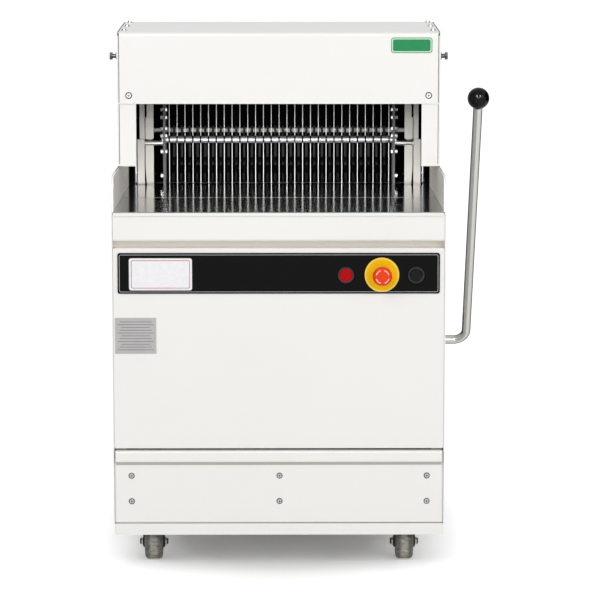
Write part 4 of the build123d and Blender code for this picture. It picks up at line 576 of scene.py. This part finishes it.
def row_tree(shape, material):
    """A row of one small shape, spaced by a pitch from the first point."""
    tree, given, result = new_tree("row of pieces", {"Count": 1.0, "Pitch": 0.030})
    link = tree.links.new
    line = tree.nodes.new("GeometryNodeMeshLine")
    line.mode = "OFFSET"
    link(given.outputs["Count"], line.inputs["Count"])
    step = tree.nodes.new("ShaderNodeCombineXYZ")
    link(given.outputs["Pitch"], step.inputs["X"])
    link(step.outputs["Vector"], line.inputs["Offset"])
    start = tree.nodes.new("GeometryNodeInputPosition")
    first = tree.nodes.new("GeometryNodeSampleIndex")
    first.data_type = "FLOAT_VECTOR"
    link(given.outputs["Geometry"], first.inputs["Geometry"])
    link(start.outputs["Position"], first.inputs["Value"])
    link(first.outputs["Value"], line.inputs["Start Location"])
    source = tree.nodes.new("GeometryNodeObjectInfo")
    source.inputs["Object"].default_value = shape
    whole = realized(tree, line.outputs["Mesh"], source.outputs["Geometry"])
    link(painted(tree, whole, material), result.inputs["Geometry"])
    return tree


blade = scalloped_blade()
bpy.context.scene.collection.objects.link(blade)
knife_row = row_tree(blade, blade_steel)
for which, count in (("front", (KNIVES + 1) // 2), ("rear", KNIVES // 2)):
    first_x = -KNIFE_PITCH * (count - 1)
    blades = grown(which + " blades", [(at(first_x, KNIFE_BACK_Y, KNIFE_LOW_Z), (0, 0, 1))],
                   knife_row, {"Count": float(count), "Pitch": 2 * KNIFE_PITCH / 1000},
                   which + "_frame")
    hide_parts(which + "_knives")
bpy.data.objects.remove(blade)

# ---- painted shade in the guide bar's grooves --------------------------------------------
GROOVE_W, GROOVE_SINK, GROOVE_RISE = 2.8, 0.2, 0.1
GROOVE_REACH, GROOVE_SIDES = 95.0, 12


def groove_shade_band():
    """One band of painted groove shade about the origin: half a ring round the front of the bar."""
    turns = [radians(-GROOVE_REACH + 2 * GROOVE_REACH * i / GROOVE_SIDES)
             for i in range(GROOVE_SIDES + 1)]
    low, high, half = BAR_R - GROOVE_SINK, BAR_R + GROOVE_RISE, GROOVE_W / 2
    vertices = [(x / 1000, -radius * cos(turn) / 1000, radius * sin(turn) / 1000)
                for x, radius in ((-half, low), (-half, high), (half, high), (half, low))
                for turn in turns]
    count, faces = len(turns), []
    for ring in range(4):
        a, b = ring * count, (ring + 1) % 4 * count
        faces += [(a + i, b + i, b + i + 1, a + i + 1) for i in range(GROOVE_SIDES)]
    for i in (0, GROOVE_SIDES):
        end = [ring * count + i for ring in (0, 3, 2, 1)]
        faces.append(tuple(end if i == 0 else reversed(end)))
    mesh = bpy.data.meshes.new("groove")
    mesh.from_pydata(vertices, [], faces)
    return bpy.data.objects.new("groove", mesh)


groove = groove_shade_band()
bpy.context.scene.collection.objects.link(groove)
first_x = -KNIFE_PITCH * (KNIVES - 1) / 2
grown("guide bar grooves", [(at(first_x, BAR_Y, BAR_Z), (0, 0, 1))],
      row_tree(groove, seal_and_groove_shade_black), {"Count": float(KNIVES), "Pitch": KNIFE_PITCH / 1000},
      "cabinet")
bpy.data.objects.remove(groove)

# ---- plates and printed places ---------------------------------------------------------
LABEL_X, LABEL_Z, LABEL_THICK = -205.0, 521.5, 0.5
BADGE_X, BADGE_Z, BADGE_THICK = 237.6, 908.5, 0.5
RATING_X, RATING_Z, RATING_THICK = -249.0, 413.5, 0.4
RULES, RULE_TOP_Z, RULE_PITCH, RULE_LENGTHS = 11, 438.0, 4.9, (56.0, 62.0, 50.0)
MARK_OUTER_R, MARK_INNER_R, MARK_START, MARK_END, MARK_THICK = 12.2, 10.4, 18, 74, 0.25
LINE, PRINT, FINE_PRINT = 0.15, 0.12, 0.08

front_band("strip border line", rounded_outline(STRIP_W - 5.6, STRIP_H - 5.6, 3.0),
           rounded_outline(STRIP_W - 7.2, STRIP_H - 7.2, 2.4), 0, STRIP_Z, STRIP_Y, LINE, line_grey)

# 60 points to a turn; the band closes the last step itself
front_band("legend rim", ring_points(29.6, 0, 354, 59), ring_points(27.4, 0, 354, 59),
           ESTOP_X, CONTROL_Z, LEGEND_Y, LINE, legend_rim)
# four pale arcs on the head, near its edge
for turn in (0, 90, 180, 270):
    start, end = turn + MARK_START, turn + MARK_END
    mark = ring_points(MARK_OUTER_R, start, end, 12) + ring_points(MARK_INNER_R, end, start, 12)
    front_plate(f"turning mark {turn}", mark, ESTOP_X, CONTROL_Z, HEAD_Y, MARK_THICK, estop_arc,
                "estop")

front_plate("label plate", rounded_outline(109.3, 56.0, 4.0), LABEL_X, LABEL_Z, STRIP_Y,
            LABEL_THICK, plate_white)
front_band("label border", rounded_outline(102.0, 49.0, 3.0), rounded_outline(100.0, 47.0, 2.2),
           LABEL_X, LABEL_Z, STRIP_Y - LABEL_THICK, PRINT, line_red)

front_plate("badge plate", rounded_outline(74.1, 27.9, 5.0), BADGE_X, BADGE_Z, HOOD_Y,
            BADGE_THICK, badge_pale)
front_band("badge border", rounded_outline(73.6, 27.4, 4.8), rounded_outline(71.4, 25.2, 4.0),
           BADGE_X, BADGE_Z, HOOD_Y - BADGE_THICK, PRINT, badge_green)
front_plate("badge field", rounded_outline(67.0, 20.8, 3.0), BADGE_X, BADGE_Z,
            HOOD_Y - BADGE_THICK, PRINT, badge_green)

front_plate("rating plate", rounded_outline(72.0, 63.0, 1.0), RATING_X, RATING_Z, 0.0,
            RATING_THICK, foil)
front_band("rating plate frame", rounded_outline(70.4, 61.4, 0.8), rounded_outline(69.4, 60.4, 0.6),
           RATING_X, RATING_Z, -RATING_THICK, FINE_PRINT, line_grey)
for row in range(RULES):
    rule = rounded_outline(RULE_LENGTHS[row % 3], 1.0, 0.4, 2)
    front_plate(f"rating plate rule {row + 1}", rule, RATING_X, RULE_TOP_Z - row * RULE_PITCH,
                -RATING_THICK, FINE_PRINT, line_dark)

# ---- edges, seams and painted shadow and highlight on the sheets -------------------------
SEAM_X, RETURN_X, SEAM_THICK = (285.2, 286.4), (285.1, 287.3), 0.1

strip("table nose coat", (-286.0, 286.0), (-2.15, -2.0), (622.9, 628.0), white_coat)
# a pale strip as painted highlight on the edge of the joint between the tables
strip("table joint line", (-240.0, 240.0), (259.6, 260.8), (TABLE_Z, TABLE_Z + 0.1), joint_highlight)
# dark strips as painted shadow in the gaps between the hood, the columns and the side sheets
for side in (-1, 1):
    seam_x = sorted(side * x for x in SEAM_X)
    strip(f"hood edge seam {side}", seam_x, (HOOD_Y - SEAM_THICK, HOOD_Y), (806.0, 929.0),
          seam_shadow)
    strip(f"column edge seam {side}", seam_x, (COLUMN_Y - SEAM_THICK, COLUMN_Y), (696.0, 803.0),
          seam_shadow)
for side in (-1, 1):
    return_x = sorted(side * x for x in RETURN_X)
    strip(f"plinth edge return {side}", return_x, (1.6, 14.0), (82.0, 209.0), white_coat)

# a thin slanting strip of painted shadow along the underside of the plinth's lip
lip_shadow_corners = [at(x, y, z) for x in (-284.5, 284.5)
             for y, z in ((-6.4, 191.0), (-0.3, 184.9), (-0.3, 185.2), (-6.4, 191.3))]
lip_faces = [(0, 1, 2, 3), (7, 6, 5, 4), (0, 4, 5, 1), (1, 5, 6, 2), (2, 6, 7, 3), (3, 7, 4, 0)]
piece("lip shade", lip_shadow_corners, lip_faces, lip_shadow_coat, "cabinet")
strip("lid seal", (-285.0, 285.0), (755.2, 756.9), (TABLE_Z + 0.05, 634.0), seal_and_groove_shade_black, "lid")

# ---- stage, light and camera --------------------------------------------------------------
FLOOR_SIZE, FLOOR_Y = 90.0, 38.0
LIFT_HALF_X, LIFT_HALF_Y = 0.30, 0.62
LIFT_REACH = {"From Min": 0.60, "From Max": 1.35, "To Min": 0.06, "To Max": 0.55}
LIT_COLOUR, LIT_STRENGTH = (0.96, 0.98, 1.0, 1), 0.62
LAMP_COLOUR = (1.0, 0.985, 0.955)
BLACK, FULL_WHITE = (0, 0, 0, 1), (1, 1, 1, 1)
CAMERA_PLACE, CAMERA_YAW, CAMERA_TILT = (9.0, -4700.0, 1123.0), radians(0.340), radians(7.836)
CAMERA_LENS, SENSOR_W, FAR_CLIP = 163.9, 36.0, 200.0


def seen_directly(tree):
    """1 for camera, mirror and see-through rays."""
    rays = tree.nodes.new("ShaderNodeLightPath").outputs
    total = rays["Is Camera Ray"]
    for name in ("Is Glossy Ray", "Is Transmission Ray"):
        total = maths(tree, "ADD", total, rays[name], clamped=True)
    return total


def floor_finish():
    """Pale floor that keeps the shadow, lifted towards white away from the machine."""
    material, tree, shader = finish_nodes("pale floor")
    shader.inputs["Base Color"].default_value = (0.96, 0.96, 0.96, 1)
    shader.inputs["Roughness"].default_value = 0.9
    shader.inputs["Specular IOR Level"].default_value = 0.0
    shader.inputs["Emission Color"].default_value = FULL_WHITE
    place = tree.nodes.new("ShaderNodeTexCoord")
    centred = tree.nodes.new("ShaderNodeMapping")
    middle = (-MID_X / 1000 / LIFT_HALF_X, FLOOR_Y / LIFT_HALF_Y, 0.0)
    centred.inputs["Location"].default_value = middle
    centred.inputs["Scale"].default_value = (1 / LIFT_HALF_X, 1 / LIFT_HALF_Y, 1.0)
    tree.links.new(place.outputs["Object"], centred.inputs["Vector"])
    away = tree.nodes.new("ShaderNodeVectorMath")
    away.operation = "LENGTH"
    tree.links.new(centred.outputs["Vector"], away.inputs[0])
    reach = tree.nodes.new("ShaderNodeMapRange")
    for label, value in LIFT_REACH.items():
        reach.inputs[label].default_value = value
    tree.links.new(away.outputs["Value"], reach.inputs["Value"])
    lift = maths(tree, "MULTIPLY", seen_directly(tree), reach.outputs["Result"])
    tree.links.new(lift, shader.inputs["Emission Strength"])
    return material


bpy.ops.mesh.primitive_plane_add(size=FLOOR_SIZE, location=(0, FLOOR_Y, 0))
floor = bpy.context.object
floor.name = "floor"
floor.data.materials.append(floor_finish())


def studio_world():
    """Plain soft light, and white where the world is seen or mirrored."""
    world = bpy.data.worlds.new("studio")
    bpy.context.scene.world = world
    world.use_nodes = True
    tree = world.node_tree
    tree.nodes.clear()
    out = tree.nodes.new("ShaderNodeOutputWorld")
    lit = tree.nodes.new("ShaderNodeBackground")
    lit.inputs["Color"].default_value = LIT_COLOUR
    lit.inputs["Strength"].default_value = LIT_STRENGTH
    seen = tree.nodes.new("ShaderNodeBackground")
    seen.inputs["Color"].default_value = FULL_WHITE
    seen.inputs["Strength"].default_value = 1.0
    mix = tree.nodes.new("ShaderNodeMixShader")
    tree.links.new(seen_directly(tree), mix.inputs["Fac"])
    tree.links.new(lit.outputs["Background"], mix.inputs[1])
    tree.links.new(seen.outputs["Background"], mix.inputs[2])
    tree.links.new(mix.outputs["Shader"], out.inputs["Surface"])


studio_world()


def turn_to(thing, direction, axis="-Z"):
    """Points an object's own axis in a direction, its Y up."""
    thing.rotation_mode = "QUATERNION"
    thing.rotation_quaternion = direction.to_track_quat(axis, "Y")


def softbox(name, place, aim, size, power):
    """A soft lamp that looks at a point."""
    data = bpy.data.lights.new(name, "AREA")
    data.shape = "RECTANGLE"
    data.size, data.size_y = size
    data.energy = power
    data.color = LAMP_COLOUR
    lamp = bpy.data.objects.new(name, data)
    lamp.location = place
    turn_to(lamp, Vector(aim) - Vector(place))
    bpy.context.scene.collection.objects.link(lamp)


def card(name, place, aim, size, strength):
    """A studio card that only mirror-like surfaces see: black, or bright by its strength."""
    bpy.ops.mesh.primitive_plane_add(size=1.0, location=place)
    made = bpy.context.object
    made.name = name
    made.scale = (*size, 1.0)
    turn_to(made, Vector(aim) - Vector(place), "Z")
    material, tree, shader = finish_nodes(name)
    shader.inputs["Base Color"].default_value = BLACK
    shader.inputs["Specular IOR Level"].default_value = 0.0
    shader.inputs["Emission Color"].default_value = FULL_WHITE
    shader.inputs["Emission Strength"].default_value = strength
    made.data.materials.append(material)
    made.visible_camera = False
    made.visible_diffuse = False
    made.visible_transmission = False
    made.visible_shadow = False


softbox("key", (-2.2, -3.6, 3.4), (0, 0, 0.5), (2.6, 2.6), 59)
softbox("fill", (2.6, -3.4, 2.2), (0, 0, 0.5), (2.4, 2.4), 40)
card("dark card right", (2.4, 1.4, 0.9), (0.3, 0.2, 0.9), (5.0, 3.4), 0.0)
card("dark card left", (-2.4, 1.4, 0.9), (-0.3, 0.2, 0.9), (5.0, 3.4), 0.0)
card("front card", (0.0, -4.6, 1.55), (0, 0.1, 0.75), (3.2, 0.8), 11.0)
card("bright card left", (-0.75, -3.4, 2.6), (0.3, 0.1, 0.8), (0.8, 1.0), 48.0)
card("bright card right", (1.35, -3.4, 2.6), (0.3, 0.1, 0.8), (0.8, 1.0), 48.0)

camera_data = bpy.data.cameras.new("camera")
camera_data.sensor_width = SENSOR_W
camera_data.lens = CAMERA_LENS
camera_data.clip_end = FAR_CLIP
camera = bpy.data.objects.new("camera", camera_data)
bpy.context.scene.collection.objects.link(camera)
camera.location = at(*CAMERA_PLACE)
turn_to(camera, Vector((sin(CAMERA_YAW) * cos(CAMERA_TILT), cos(CAMERA_YAW) * cos(CAMERA_TILT),
                        -sin(CAMERA_TILT))))
bpy.context.scene.camera = camera
bpy.context.scene.view_settings.view_transform = "Standard"
